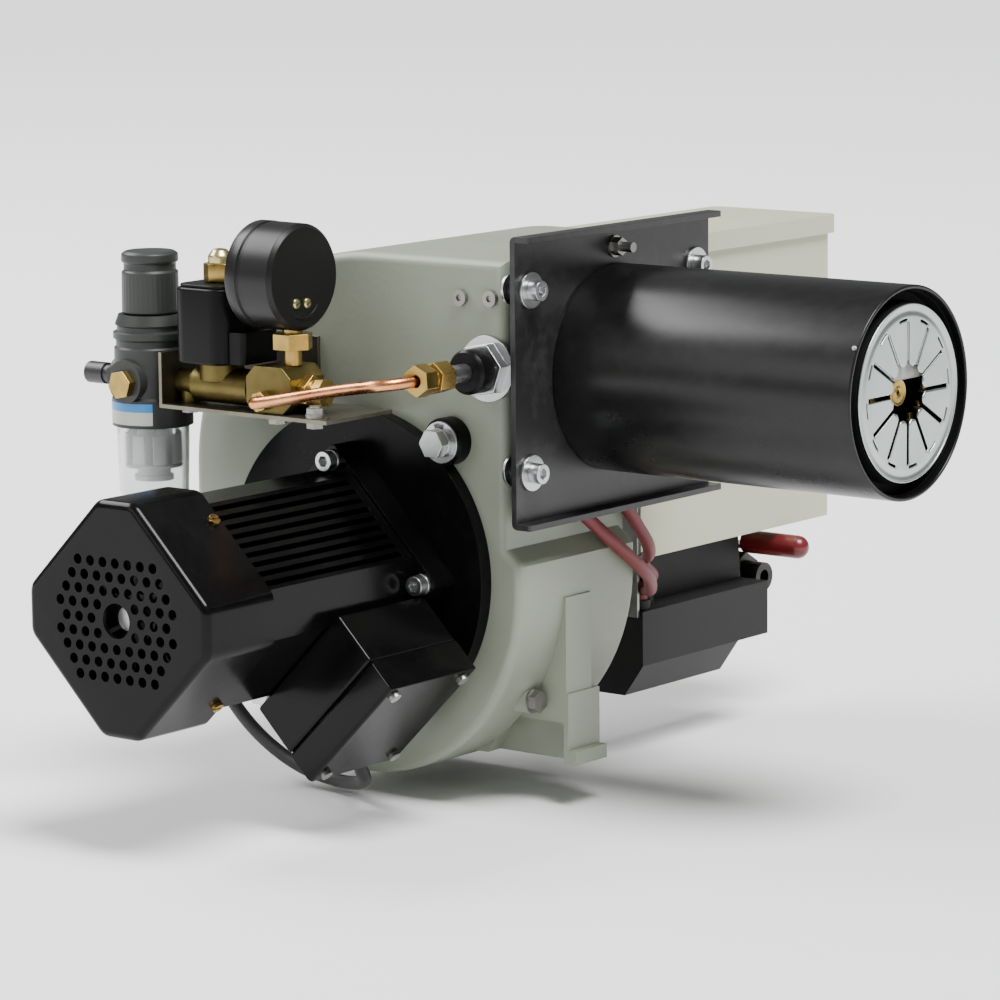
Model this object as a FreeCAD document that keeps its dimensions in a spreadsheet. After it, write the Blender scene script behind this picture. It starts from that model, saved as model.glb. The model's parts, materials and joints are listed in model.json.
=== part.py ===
import FreeCAD
import Part
import Sketcher
import math
import os

# Small diesel burner with air atomising, built piece by piece.
# Frame: +X along the blast tube towards the flame, -Y towards the motor, +Z up.
# The origin is where the blast tube's axis meets the front face of the flange plate.

V = FreeCAD.Vector
DIAG = math.sqrt(0.5)

doc = FreeCAD.newDocument("burner")
sheet = doc.addObject("Spreadsheet::Sheet", "Dims")
sheet_rows = []
parts = {}


class Size:
    """A length that knows its value and the sheet expression it comes from."""

    def __init__(self, value, text):
        self.value = value
        self.text = text

    def _join(self, other, sign, result):
        return Size(result, "(%s %s %s)" % (self.text, sign, as_size(other).text))

    def __add__(self, other):
        return self._join(other, "+", self.value + as_size(other).value)

    def __sub__(self, other):
        return self._join(other, "-", self.value - as_size(other).value)

    def __mul__(self, other):
        return self._join(other, "*", self.value * as_size(other).value)

    def __truediv__(self, other):
        return self._join(other, "/", self.value / as_size(other).value)

    def __radd__(self, other):
        return as_size(other) + self

    def __rsub__(self, other):
        return as_size(other) - self

    def __rmul__(self, other):
        return as_size(other) * self

    def __neg__(self):
        return Size(-self.value, "(0 - %s)" % self.text)


def as_size(number):
    if isinstance(number, Size):
        return number
    return Size(float(number), "(%.6f)" % number)


def dim(alias, value):
    """One driving dimension: a row of the sheet with a name of its own."""
    row = len(sheet_rows) + 1
    sheet_rows.append(alias)
    sheet.set("A%d" % row, alias)
    sheet.set("B%d" % row, str(value))
    sheet.setAlias("B%d" % row, alias)
    return Size(float(value), "Dims." + alias)


# Blast tube and flange plate
tube_r = dim("tube_r", 52)
tube_wall = dim("tube_wall", 2)
tube_length = dim("tube_length", 175)
tube_tail = dim("tube_tail", 16.5)
flange_half_y = dim("flange_half_y", 81)
flange_margin = dim("flange_margin", 20)
flange_half_z = tube_r + flange_margin
tail_step = dim("tail_step", 1)
flange_t = dim("flange_t", 3)
lip_depth = dim("lip_depth", 8.5)
lip_bend = dim("lip_bend", 3)
flange_corner = dim("flange_corner", 5)
flange_bolt_y = dim("flange_bolt_y", 69)
flange_bolt_z = dim("flange_bolt_z", 45)
spacer_length = dim("spacer_length", 9)
spacer_r = dim("spacer_r", 5)
stud_gap = dim("stud_gap", 8.5)
stud_height = tube_r + stud_gap
fit_gap = dim("fit_gap", 0.3)
slip = dim("slip", 0.05)

# Housing casting
front_x = -(flange_t + spacer_length)
side_y = dim("side_y", -74)
mid_y = dim("mid_y", -39)
scroll_far_y = dim("scroll_far_y", 22)
duct_far_y = dim("duct_far_y", 38)
chest_far_y = dim("chest_far_y", 78)
top_z = dim("top_z", 58.5)
scroll_x = dim("scroll_x", -107)
scroll_z = dim("scroll_z", -104)
scroll_r = dim("scroll_r", 104)
scroll_wide_r = dim("scroll_wide_r", 110)
back_r = dim("back_r", 118.5)
wall = dim("wall", 4)
tongue_z = dim("tongue_z", -84)
duct_floor_z = dim("duct_floor_z", -66)
cast_round = dim("cast_round", 5)
foot_z = dim("foot_z", -197)
foot_front_x = dim("foot_front_x", -1)
foot_back_x = dim("foot_back_x", -62)
foot_width = dim("foot_width", 26)
foot_height = dim("foot_height", 24)
inlet_r = dim("inlet_r", 32)
bulkhead_x = dim("bulkhead_x", -22)
bulkhead_z = dim("bulkhead_z", 5.4)

# Motor
motor_x = dim("motor_x", -103)
motor_z = dim("motor_z", -101)
plate_r = dim("plate_r", 81.5)
plate_t = dim("plate_t", 8)
lug_reach = dim("lug_reach", 90)
lug_r = dim("lug_r", 12)
motor_flange_t = dim("motor_flange_t", 16)
motor_flange_face = dim("motor_flange_face", 46.7)
motor_flange_corner = dim("motor_flange_corner", 64.5)
motor_bolt_r = dim("motor_bolt_r", 57.2)
body_rear_y = dim("body_rear_y", -218)
body_flat = dim("body_flat", 50.5)
body_face = dim("body_face", 44.5)
fin_depth = dim("fin_depth", 3.6)
stator_r = dim("stator_r", 37)
rotor_r = dim("rotor_r", 22)
air_gap = dim("air_gap", 0.5)
shaft_r = dim("shaft_r", 6)
cover_front_y = dim("cover_front_y", -258)
cover_rear_y = dim("cover_rear_y", -210)
cover_flat = dim("cover_flat", 57.5)
cover_face = dim("cover_face", 49)
cover_wall = dim("cover_wall", 2.2)
cover_corner = dim("cover_corner", 9)
box_top = dim("box_top", 91)
box_half = dim("box_half", 37)
box_front_y = dim("box_front_y", -164)
box_rear_y = dim("box_rear_y", -98)
box_lid_h = dim("box_lid_h", 18)
impeller_r = dim("impeller_r", 66)
impeller_width = dim("impeller_width", 56)

# Air train: regulator, solenoid valve, manifold and gauge in one row
train_y = dim("train_y", -118)
train_z = dim("train_z", -8)
regulator_x = dim("regulator_x", -205)
regulator_r = dim("regulator_r", 19)
shelf_z = dim("shelf_z", -20)
shelf_t = dim("shelf_t", 2)
valve_x = dim("valve_x", -157.5)
coil_w = dim("coil_w", 34)
coil_h = dim("coil_h", 40)
manifold_x = dim("manifold_x", -116)
manifold_half = dim("manifold_half", 14.5)
gauge_x = dim("gauge_x", -110.5)
gauge_z = dim("gauge_z", 49.5)
gauge_r = dim("gauge_r", 27)
gauge_depth = dim("gauge_depth", 29)
copper_r = dim("copper_r", 3)
copper_y = dim("copper_y", -145)

# Control box, transformer and fuel valve
plate_y = dim("plate_y", 78)
box_x = dim("box_x", -43)
box_depth = dim("box_depth", 78)
control_near_y = dim("control_near_y", 80)
control_far_y = dim("control_far_y", 258.5)
control_top_z = dim("control_top_z", 51)
control_floor_z = dim("control_floor_z", -114)
sheet_wall = dim("sheet_wall", 1.5)
lid_lip = dim("lid_lip", 10)
lid_over = dim("lid_over", 2.5)
trafo_far_y = dim("trafo_far_y", 195)
trafo_step_z = dim("trafo_step_z", -142)
trafo_floor_z = dim("trafo_floor_z", -188)
lead_r = dim("lead_r", 3.4)
fuel_x = dim("fuel_x", -86)
fuel_y = dim("fuel_y", 212)
fuel_z = dim("fuel_z", -144)


def bind(thing, prop, size):
    thing.setExpression(prop, as_size(size).text)


def place(thing, base, turn):
    thing.Placement = FreeCAD.Placement(V(*[as_size(c).value for c in base]), turn)
    for name, size in zip("xyz", base):
        bind(thing, "Placement.Base." + name, size)
    return thing


TURNS = {
    "+X": FreeCAD.Rotation(V(0, 1, 0), 90),
    "-X": FreeCAD.Rotation(V(0, 1, 0), -90),
    "+Y": FreeCAD.Rotation(V(1, 0, 0), -90),
    "-Y": FreeCAD.Rotation(V(1, 0, 0), 90),
    "+Z": FreeCAD.Rotation(),
    "-Z": FreeCAD.Rotation(V(1, 0, 0), 180),
}


def rod(radius, length, base, way="+Z"):
    thing = doc.addObject("Part::Cylinder", "rod")
    bind(thing, "Radius", radius)
    bind(thing, "Height", length)
    return place(thing, base, TURNS[way])


def taper(radius, end_radius, length, base, way="+Z"):
    thing = doc.addObject("Part::Cone", "taper")
    bind(thing, "Radius1", radius)
    bind(thing, "Radius2", end_radius)
    bind(thing, "Height", length)
    return place(thing, base, TURNS[way])


def ball(radius, base):
    thing = doc.addObject("Part::Sphere", "ball")
    bind(thing, "Radius", radius)
    return place(thing, base, TURNS["+Z"])


def block(size, base):
    thing = doc.addObject("Part::Box", "block")
    for prop, length in zip(("Length", "Width", "Height"), size):
        bind(thing, prop, length)
    return place(thing, base, TURNS["+Z"])


def hexagon(across, length, base, way="+Z", spin=0):
    """A hexagonal bar, given by its width across the flats."""
    thing = doc.addObject("Part::Prism", "hexagon")
    thing.Polygon = 6
    bind(thing, "Circumradius", across / math.sqrt(3))
    bind(thing, "Height", length)
    return place(thing, base, TURNS[way].multiply(FreeCAD.Rotation(V(0, 0, 1), spin)))


def fuse(*things):
    joined = doc.addObject("Part::MultiFuse", "fuse")
    joined.Shapes = list(things)
    return joined


def cut(base, *tools):
    left = doc.addObject("Part::Cut", "cut")
    left.Base = base
    left.Tool = tools[0] if len(tools) == 1 else fuse(*tools)
    return left


def pipe(outer, inner, length, base, way="+Z"):
    """A tube: the bore runs past both ends of the bar that it is cut from."""
    over = 1.0
    step = V(0, 0, -over)
    step = TURNS[way].multVec(step)
    bore_base = [as_size(c) + o for c, o in zip(base, step)]
    return cut(rod(outer, length, base, way), rod(inner, as_size(length) + 2 * over, bore_base, way))


def group(*things):
    """Separate solids that make one node."""
    together = doc.addObject("Part::Compound", "group")
    together.Links = list(things)
    return together


def softened(thing, radius, keep):
    """Rounds the edges of a finished thing that keep() picks."""
    doc.recompute()
    numbers = [i + 1 for i, e in enumerate(thing.Shape.Edges) if keep(e)]
    rounded = doc.addObject("Part::Fillet", "softened")
    rounded.Base = thing
    rounded.Edges = [(n, as_size(radius).value, as_size(radius).value) for n in numbers]
    return rounded


def part(name, thing):
    """Names a finished sub-part; the name is also its file's."""
    thing.Label = name
    parts[name] = thing
    return thing


def origin_plane(body, role):
    return [f for f in body.Origin.OriginFeatures if f.Role == role][0]


class Piece:
    """A PartDesign body, built up from sketches on its own origin planes."""

    def __init__(self, name):
        self.body = doc.addObject("PartDesign::Body", name + "_body")
        doc.recompute()

    def sketch(self, plane, offset=0.0, x=0.0, y=0.0):
        """A sketch on an origin plane, moved out by offset and along by x and y."""
        sk = self.body.newObject("Sketcher::SketchObject", "sketch")
        sk.AttachmentSupport = (origin_plane(self.body, plane + "_Plane"), [""])
        sk.MapMode = "FlatFace"
        for name, size in zip("xyz", (x, y, offset)):
            bind(sk, "AttachmentOffset.Base." + name, size)
        return sk

    def pad(self, sk, length, name="pad"):
        feature = self.body.newObject("PartDesign::Pad", name)
        feature.Profile = sk
        bind(feature, "Length", length)
        return feature

    def pocket(self, sk, length, name="pocket", along=True):
        """Cuts along the sketch's normal, or against it; stops where nothing would be cut."""
        doc.recompute()
        before = self.body.Shape.Volume
        feature = self.body.newObject("PartDesign::Pocket", name)
        feature.Profile = sk
        feature.Reversed = along
        bind(feature, "Length", length)
        doc.recompute()
        if self.body.Shape.Volume > before - 0.5:
            raise RuntimeError("%s of %s cuts nothing" % (name, self.body.Label))
        return feature

    def revolve(self, sk, axis, name="revolution"):
        feature = self.body.newObject("PartDesign::Revolution", name)
        feature.Profile = sk
        feature.ReferenceAxis = (sk, [axis])
        feature.Angle = 360
        return feature

    def polar(self, feature, axis, count):
        pattern = self.body.newObject("PartDesign::PolarPattern", "pattern")
        pattern.Originals = [feature]
        pattern.Axis = axis
        pattern.Angle = 360
        pattern.Occurrences = count
        self.body.Tip = pattern
        return pattern

    def rounds(self, keep, radius, name="fillet"):
        doc.recompute()
        tip = self.body.Tip
        names = ["Edge%d" % (i + 1) for i, e in enumerate(tip.Shape.Edges) if keep(e)]
        fillet = self.body.newObject("PartDesign::Fillet", name)
        fillet.Base = (tip, names)
        bind(fillet, "Radius", radius)
        return fillet


def pin_down(sk, geometry, point, x, y):
    """Fixes a point of the sketch at two named distances from its origin."""
    for kind, size in (("DistanceX", as_size(x)), ("DistanceY", as_size(y))):
        made = sk.addConstraint(Sketcher.Constraint(kind, -1, 1, geometry, point, size.value))
        sk.setExpression("Constraints[%d]" % made, size.text)


def outline(sk, corners):
    """A closed outline. A corner is (x, y), or (x, y, centre x, centre y, turn) where an arc
    about that centre leads on to the next corner, anticlockwise for +1, clockwise for -1."""
    first = sk.GeometryCount
    count = len(corners)
    ends = []
    for i, corner in enumerate(corners):
        after = corners[(i + 1) % count]
        start = V(as_size(corner[0]).value, as_size(corner[1]).value, 0)
        end = V(as_size(after[0]).value, as_size(after[1]).value, 0)
        if len(corner) == 2:
            made = sk.addGeometry(Part.LineSegment(start, end), False)
            ends.append((made, 1, 2))
            continue
        centre = V(as_size(corner[2]).value, as_size(corner[3]).value, 0)
        a, b = start - centre, end - centre
        if corner[4] < 0:
            a, b = b, a
        angles = [math.atan2(a.y, a.x), math.atan2(b.y, b.x)]
        if angles[1] <= angles[0]:
            angles[1] += 2 * math.pi
        circle = Part.Circle(centre, V(0, 0, 1), a.Length)
        made = sk.addGeometry(Part.ArcOfCircle(circle, angles[0], angles[1]), False)
        ends.append((made, 1, 2) if corner[4] > 0 else (made, 2, 1))
    for i in range(count):
        here, after = ends[i], ends[(i + 1) % count]
        sk.addConstraint(Sketcher.Constraint("Coincident", here[0], here[2], after[0], after[1]))
        pin_down(sk, here[0], here[1], corners[i][0], corners[i][1])
        if len(corners[i]) > 2:
            radius = sk.Geometry[here[0]].Radius
            made = sk.addConstraint(Sketcher.Constraint("Radius", here[0], radius))
            gap_x = corners[i][0] - as_size(corners[i][2])
            gap_y = corners[i][1] - as_size(corners[i][3])
            text = "sqrt(%s * %s + %s * %s)" % (gap_x.text, gap_x.text, gap_y.text, gap_y.text)
            sk.setExpression("Constraints[%d]" % made, text)
    return first


def ring(sk, x, y, radius):
    made = sk.addGeometry(Part.Circle(V(as_size(x).value, as_size(y).value, 0), V(0, 0, 1),
                                      as_size(radius).value), False)
    pin_down(sk, made, 3, x, y)
    fixed = sk.addConstraint(Sketcher.Constraint("Radius", made, as_size(radius).value))
    sk.setExpression("Constraints[%d]" % fixed, as_size(radius).text)
    return made


def rectangle(sk, left, low, right, high):
    outline(sk, [(left, low), (right, low), (right, high), (left, high)])


def lies(edge, axis, level, slack=0.01):
    """True where the whole edge lies in the plane at that level."""
    box = edge.BoundBox
    low = getattr(box, axis + "Min")
    high = getattr(box, axis + "Max")
    level = as_size(level).value
    return abs(low - level) < slack and abs(high - level) < slack


def runs(edge, axis):
    """True for a straight edge along that axis."""
    if edge.Curve.TypeId != "Part::GeomLine":
        return False
    box = edge.BoundBox
    spans = {"X": box.XLength, "Y": box.YLength, "Z": box.ZLength}
    across = [span for name, span in spans.items() if name != axis]
    return spans[axis] > 0.01 and max(across) < 0.001


# Blast tube: a rolled steel tube with a rounded mouth and a thinner tail that enters the flange
tube = Piece("blast_tube")
profile = tube.sketch("XZ")
outline(profile, [(-tube_tail, tube_r - tube_wall), (tube_length, tube_r - tube_wall),
                  (tube_length, tube_r), (tail_step, tube_r), (tail_step, tube_r - tail_step),
                  (-tube_tail, tube_r - tail_step)])
tube.revolve(profile, "H_Axis")
tube.rounds(lambda e: lies(e, "X", tube_length), tube_wall * 0.4)
part("blast_tube", tube.body)

# Flange plate: a folded channel with lips at top and bottom, bent forward
flange = Piece("flange_plate")
profile = flange.sketch("XZ", -flange_half_y)
inner_z = flange_half_z - flange_t
outline(profile, [(-flange_t, -flange_half_z), (lip_depth, -flange_half_z), (lip_depth, -inner_z),
                  (0, -inner_z), (0, inner_z), (lip_depth, inner_z),
                  (lip_depth, flange_half_z), (-flange_t, flange_half_z)])
flange.pad(profile, 2 * flange_half_y)
flange.rounds(lambda e: runs(e, "Y") and lies(e, "X", -flange_t), lip_bend)
flange.rounds(lambda e: runs(e, "Z") and lies(e, "X", lip_depth), flange_corner * 0.3, "lip_ends")
profile = flange.sketch("YZ", -flange_t)
ring(profile, 0, 0, tube_r - tail_step + slip)
for side in (-1, 1):
    for level in (-1, 1):
        ring(profile, side * flange_bolt_y, level * flange_bolt_z, 3.3)
ring(profile, 0, stud_height, 2.6)
flange.pocket(profile, flange_t, "holes")
part("flange_plate", flange.body)

# Flange fasteners: four cap screws, each with a washer in front and one behind its spacer
M6_HEAD_R = 5
M6_HEAD_H = 6
WASHER_R = 9
WASHER_T = 1.6


def socket_screw(head_r, head_h, shank_r, shank_l, base, way):
    """A cap screw: shank from its seat inwards, head outwards, with its hexagon socket."""
    out = TURNS[way].multVec(V(0, 0, 1))
    back = [as_size(c) - out[i] * as_size(shank_l) for i, c in enumerate(base)]
    floor = [as_size(c) + out[i] * as_size(head_h) * 0.45 for i, c in enumerate(base)]
    head = fuse(rod(shank_r, shank_l, back, way), rod(head_r, head_h, base, way))
    return cut(head, hexagon(as_size(head_r), head_h, floor, way))


flange_fasteners = []
spacers = []
for side in (-1, 1):
    for level in (-1, 1):
        y = side * flange_bolt_y
        z = level * flange_bolt_z
        flange_fasteners.append(pipe(WASHER_R, 3.05, WASHER_T, (0, y, z), "+X"))
        flange_fasteners.append(socket_screw(M6_HEAD_R, M6_HEAD_H, 3, flange_t + spacer_length + 8,
                                             (WASHER_T, y, z), "+X"))
        flange_fasteners.append(pipe(8, 3.05, WASHER_T, (front_x, y, z), "+X"))
        spacers.append(pipe(spacer_r, 3.05, spacer_length - WASHER_T, (front_x + WASHER_T, y, z), "+X"))
part("flange_screws", group(*flange_fasteners))
part("flange_spacers", group(*spacers))

# Diffuser: a pressed disc with twelve slots, each with its vane bent back, and short rim slots
diffuser_r = dim("diffuser_r", 43.2)
diffuser_t = dim("diffuser_t", 1.2)
diffuser_hole_r = dim("diffuser_hole_r", 15)
dish_depth = dim("dish_depth", 5)
rim_depth = dim("rim_depth", 10)
disc = Piece("diffuser_disc")
profile = disc.sketch("XZ")
disc_x = tube_length - 0.4
outline(profile, [(disc_x - dish_depth - diffuser_t, diffuser_hole_r),
                  (disc_x - dish_depth, diffuser_hole_r),
                  (disc_x - dish_depth * 0.6, diffuser_r - 3.6),
                  (disc_x - dish_depth * 0.3, diffuser_r - 1.2), (disc_x, diffuser_r),
                  (disc_x, tube_r - tube_wall - slip),
                  (disc_x - rim_depth, tube_r - tube_wall - slip),
                  (disc_x - rim_depth, tube_r - tube_wall - slip - diffuser_t),
                  (disc_x - diffuser_t, diffuser_r + 1),
                  (disc_x - dish_depth * 0.6 - diffuser_t, diffuser_r - 2.6)])
disc.revolve(profile, "H_Axis")
VANES = 12
slot_in = 13
slot_out = 36
slot_width = 2.6
slots = disc.sketch("YZ", disc_x - dish_depth * 2)
rectangle(slots, -slot_width / 2, slot_in, slot_width / 2, slot_out)
first_slot = disc.pocket(slots, dish_depth * 2 + 2, "slot")
disc.polar(first_slot, (origin_plane(disc.body, "X_Axis"), [""]), VANES)
rim_slots = disc.sketch("YZ", disc_x - dish_depth * 2)
turned = math.radians(10)
rim_r = diffuser_r - 4.2
half_arc = math.radians(9)
rim_w = 1.7


def on_ring(radius, angle):
    return (radius * math.cos(angle), radius * math.sin(angle))


outline(rim_slots, [on_ring(rim_r, turned - half_arc), on_ring(rim_r + rim_w, turned - half_arc),
                    on_ring(rim_r + rim_w, turned + half_arc), on_ring(rim_r, turned + half_arc)])
first_rim = disc.pocket(rim_slots, dish_depth * 2 + 2, "rim_slot")
disc.polar(first_rim, (origin_plane(disc.body, "X_Axis"), [""]), VANES)
part("diffuser_disc", disc.body)

# Nozzle, its holder and the two electrodes
nozzle_r = dim("nozzle_r", 6.6)
nozzle_face_x = tube_length - 7
holder_r = dim("holder_r", 8)
holder_back_x = dim("holder_back_x", -36)
HEX_NOZZLE = 16
nozzle_neck = rod(nozzle_r, 10, (nozzle_face_x - 10, 0, 0), "+X")
nozzle_hex = hexagon(HEX_NOZZLE, 7, (nozzle_face_x - 17, 0, 0), "+X")
nozzle_bore = rod(1.1, 30, (nozzle_face_x - 20, 0, 0), "+X")
nozzle_dish = taper(1.1, 3.2, 1.5, (nozzle_face_x - 1.5, 0, 0), "+X")
part("nozzle", cut(fuse(nozzle_neck, nozzle_hex), nozzle_bore, nozzle_dish))

holder_front_x = nozzle_face_x - 17
adapter = hexagon(20, 22, (holder_front_x - 22, 0, 0), "+X")
line_tube = rod(holder_r - 2, holder_front_x - 22 - holder_back_x, (holder_back_x, 0, 0), "+X")
foot_block = block((26, 22, 20), (bulkhead_x - 13, -11, bulkhead_z - 14))
air_leg = rod(4.5, -side_y - wall - 10, (bulkhead_x, side_y + wall + 0.02, bulkhead_z), "+Y")
fuel_in_y = dim("fuel_in_y", 56)
fuel_line_gap = dim("fuel_line_gap", 6)
fuel_line_x = box_x - box_depth - fuel_line_gap
lead_a_y = dim("lead_a_y", -34)
lead_b_y = dim("lead_b_y", 8)
lead_start_z = dim("lead_start_z", -62)
cord_r = dim("cord_r", 3.5)
cord_x = dim("cord_x", -192)
cord_z = dim("cord_z", -104)

electrode_y = dim("electrode_y", 13)
electrode_z = dim("electrode_z", 17)
insulators = []
pins = []
for side in (-1, 1):
    y = side * electrode_y
    insulators.append(pipe(5, 1.6, 70, (tube_length - 92, y, electrode_z), "+X"))
    pins.append(fuse(rod(1.5, 96, (tube_length - 108, y, electrode_z), "+X"),
                     ball(1.5, (tube_length - 12, y, electrode_z)),
                     rod(1.5, electrode_z - 8, (tube_length - 12, y, electrode_z), "-Z")))
part("electrode_insulators", group(*insulators))
part("electrode_pins", group(*pins))
clamp_x = tube_length - 60
clamp = block((12, 2 * electrode_y + 16, 14), (clamp_x, -electrode_y - 8, electrode_z - 7))
saddle = block((12, 10, electrode_z - 4), (clamp_x, -5, 0))
clamp_holes = [rod(5 + slip, 30, (clamp_x - 9, side * electrode_y, electrode_z), "+X") for side in (-1, 1)]
part("nozzle_holder", cut(fuse(adapter, line_tube, foot_block, air_leg, clamp, saddle), *clamp_holes))


LUG_COS = math.cos(math.radians(50))
LUG_SIN = math.sin(math.radians(50))
PAN_SCREWS = ((-38.5, 39.5), (-19.7, 40.1))


plug_y = mid_y - 7
PLUG_BOSS = 27


# Housing: a cast scroll in two halves, with the duct's side chest beside them
def back_arc():
    """Centre of the round back, tangent to the flat top and to the scroll's far side."""
    return scroll_x - scroll_wide_r + back_r, top_z - back_r


def housing_outline(inset):
    """The casing's line, drawn in by a wall: flat top, round back, scroll that narrows towards
    the front, step at the tongue and flat front."""
    back_x, back_z = back_arc()
    right = scroll_x + scroll_r - inset
    wide_z = scroll_z - scroll_r + scroll_wide_r
    return [(front_x - inset, top_z - inset), (back_x, top_z - inset, back_x, back_z, 1),
            (scroll_x - scroll_wide_r + inset, back_z),
            (scroll_x - scroll_wide_r + inset, wide_z, scroll_x, wide_z, 1),
            (scroll_x, scroll_z - scroll_r + inset, scroll_x, scroll_z, 1),
            (right, scroll_z), (right, tongue_z - 8 - inset), (front_x - inset, tongue_z - inset)]


def cast_half(name, near, far):
    """One half of the scroll casting, open at the parting plane; near and far are its Y limits."""
    half = Piece(name)
    shell = half.sketch("XZ", -far)
    outline(shell, housing_outline(0))
    half.pad(shell, far - near, "casing")
    return half


left = cast_half("housing_motor_side", side_y, mid_y)
boss = left.sketch("YZ", scroll_x + 62)
ring(boss, plug_y, scroll_z - 61, 6.5)
left.pad(boss, PLUG_BOSS, "plug_boss")
left.rounds(lambda e: lies(e, "Y", side_y), cast_round, "casting_round")
hollow = left.sketch("XZ", -mid_y)
outline(hollow, housing_outline(wall))
left.pocket(hollow, mid_y - side_y - wall, "hollow")
mouth = left.sketch("XZ", -side_y)
ring(mouth, motor_x, motor_z, impeller_r + 4)
ring(mouth, bulkhead_x, bulkhead_z, 8 + slip)
ring(mouth, motor_x + lug_reach * LUG_COS, motor_z + lug_reach * LUG_SIN, 4 + slip)
ring(mouth, motor_x - lug_reach * LUG_COS, motor_z - lug_reach * LUG_SIN, 4 + slip)
ring(mouth, cord_x, cord_z, cord_r + slip)
for x, z in PAN_SCREWS:
    ring(mouth, x, z, 1.5 + slip)
left.pocket(mouth, wall, "motor_hole", False)
port = left.sketch("YZ", front_x)
ring(port, 0, 0, tube_r - tail_step + fit_gap)
left.pocket(port, wall, "tube_port", False)
screw_holes = left.sketch("YZ", front_x)
for level in (-1, 1):
    ring(screw_holes, -flange_bolt_y, level * flange_bolt_z, 3.05)
left.pocket(screw_holes, 9, "screw_holes", False)
part("housing_motor_side", left.body)

right_half = cast_half("housing_inlet_side", mid_y, scroll_far_y)
foot_far_y = mid_y + foot_width
foot = right_half.sketch("XZ", -foot_far_y)
outline(foot, [(foot_back_x, foot_z), (foot_front_x, foot_z), (foot_front_x, foot_z + foot_height),
               (foot_front_x - 22, foot_z + foot_height + 8), (foot_back_x, foot_z + foot_height - 4)])
right_half.pad(foot, foot_width, "foot")
toe = right_half.sketch("XZ", -foot_far_y)
rectangle(toe, foot_front_x - 2, foot_z, foot_front_x + 4.5, foot_z + 7)
right_half.pad(toe, foot_width, "toe")
column = right_half.sketch("XZ", -(mid_y + 21))
rectangle(column, foot_front_x - 30, foot_z + foot_height - 4, foot_front_x - 1.2, scroll_z - 8)
right_half.pad(column, 21, "column")
front_flange = right_half.sketch("XZ", -foot_far_y)
rectangle(front_flange, foot_front_x - 5, foot_z, foot_front_x, foot_z + foot_height + 12)
right_half.pad(front_flange, foot_width, "front_flange")
upper = right_half.sketch("XZ", -duct_far_y)


def upper_outline(inset, floor):
    back_x, back_z = back_arc()
    return [(front_x - inset, top_z - inset), (back_x, top_z - inset, back_x, back_z, 1),
            (scroll_x - scroll_wide_r + inset, back_z),
            (scroll_x - scroll_wide_r + inset, floor), (front_x - inset, floor)]


outline(upper, upper_outline(0, duct_floor_z - 2))
right_half.pad(upper, duct_far_y - scroll_far_y, "duct_side")
right_half.rounds(lambda e: lies(e, "Y", scroll_far_y) and e.BoundBox.ZMax < duct_floor_z.value - 5,
                  cast_round, "casting_round")
hollow = right_half.sketch("XZ", -(scroll_far_y - wall))
outline(hollow, housing_outline(wall))
right_half.pocket(hollow, scroll_far_y - wall - mid_y, "hollow")
window = right_half.sketch("XZ", -duct_far_y)
outline(window, upper_outline(wall, duct_floor_z + wall))
right_half.pocket(window, duct_far_y - scroll_far_y + wall + 1, "duct_window")
eye = right_half.sketch("XZ", -scroll_far_y, motor_x, motor_z)


def window_outline(inner, outer, half_angle, middle):
    """A ring sector about the sketch's origin, for the air windows."""
    a = math.radians(middle - half_angle)
    b = math.radians(middle + half_angle)
    return [(inner * math.cos(a), inner * math.sin(a)),
            (outer * math.cos(a), outer * math.sin(a), 0, 0, 1),
            (outer * math.cos(b), outer * math.sin(b)),
            (inner * math.cos(b), inner * math.sin(b), 0, 0, -1)]


outline(eye, window_outline(inlet_r * 0.36, inlet_r * 0.94, 28, 90))
first_window = right_half.pocket(eye, wall, "air_window")
right_half.polar(first_window, (eye, ["N_Axis"]), 3)
pivot = right_half.sketch("XZ", -scroll_far_y, motor_x, motor_z)
ring(pivot, 0, 0, 3 + slip)
right_half.pocket(pivot, wall, "pivot_hole")
port = right_half.sketch("YZ", front_x)
ring(port, 0, 0, tube_r - tail_step + fit_gap)
ring(port, lead_a_y, lead_start_z, lead_r + slip)
ring(port, lead_b_y, lead_start_z, lead_r + slip)
right_half.pocket(port, wall, "tube_port", False)
web = right_half.sketch("XZ", -mid_y)
outline(web, [(foot_back_x + 9, foot_z - 1), (foot_front_x - 3, foot_z - 1),
              (foot_front_x - 3, foot_z + foot_height - 3), (foot_back_x + 22, foot_z + foot_height - 3)])
right_half.pocket(web, foot_width * 0.4, "web_recess", False)
part("housing_inlet_side", right_half.body)

chest = Piece("duct_side_cover")
outer = chest.sketch("XZ", -chest_far_y)
outline(outer, upper_outline(0, duct_floor_z - 2))
chest.pad(outer, chest_far_y - duct_far_y, "chest")
room = chest.sketch("XZ", -(chest_far_y - wall))
outline(room, upper_outline(wall, duct_floor_z + wall))
chest.pocket(room, chest_far_y - duct_far_y - wall, "room")
port = chest.sketch("YZ", front_x)
ring(port, 0, 0, tube_r - tail_step + fit_gap)
chest.pocket(port, wall, "tube_port", False)
screw_holes = chest.sketch("YZ", front_x)
for level in (-1, 1):
    ring(screw_holes, flange_bolt_y, level * flange_bolt_z, 3.05)
chest.pocket(screw_holes, 9, "screw_holes", False)
fuel_hole = chest.sketch("XY", duct_floor_z - 2)
ring(fuel_hole, fuel_line_x, fuel_in_y, copper_r + slip)
chest.pocket(fuel_hole, wall + 2, "fuel_hole")
part("duct_side_cover", chest.body)


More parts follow.
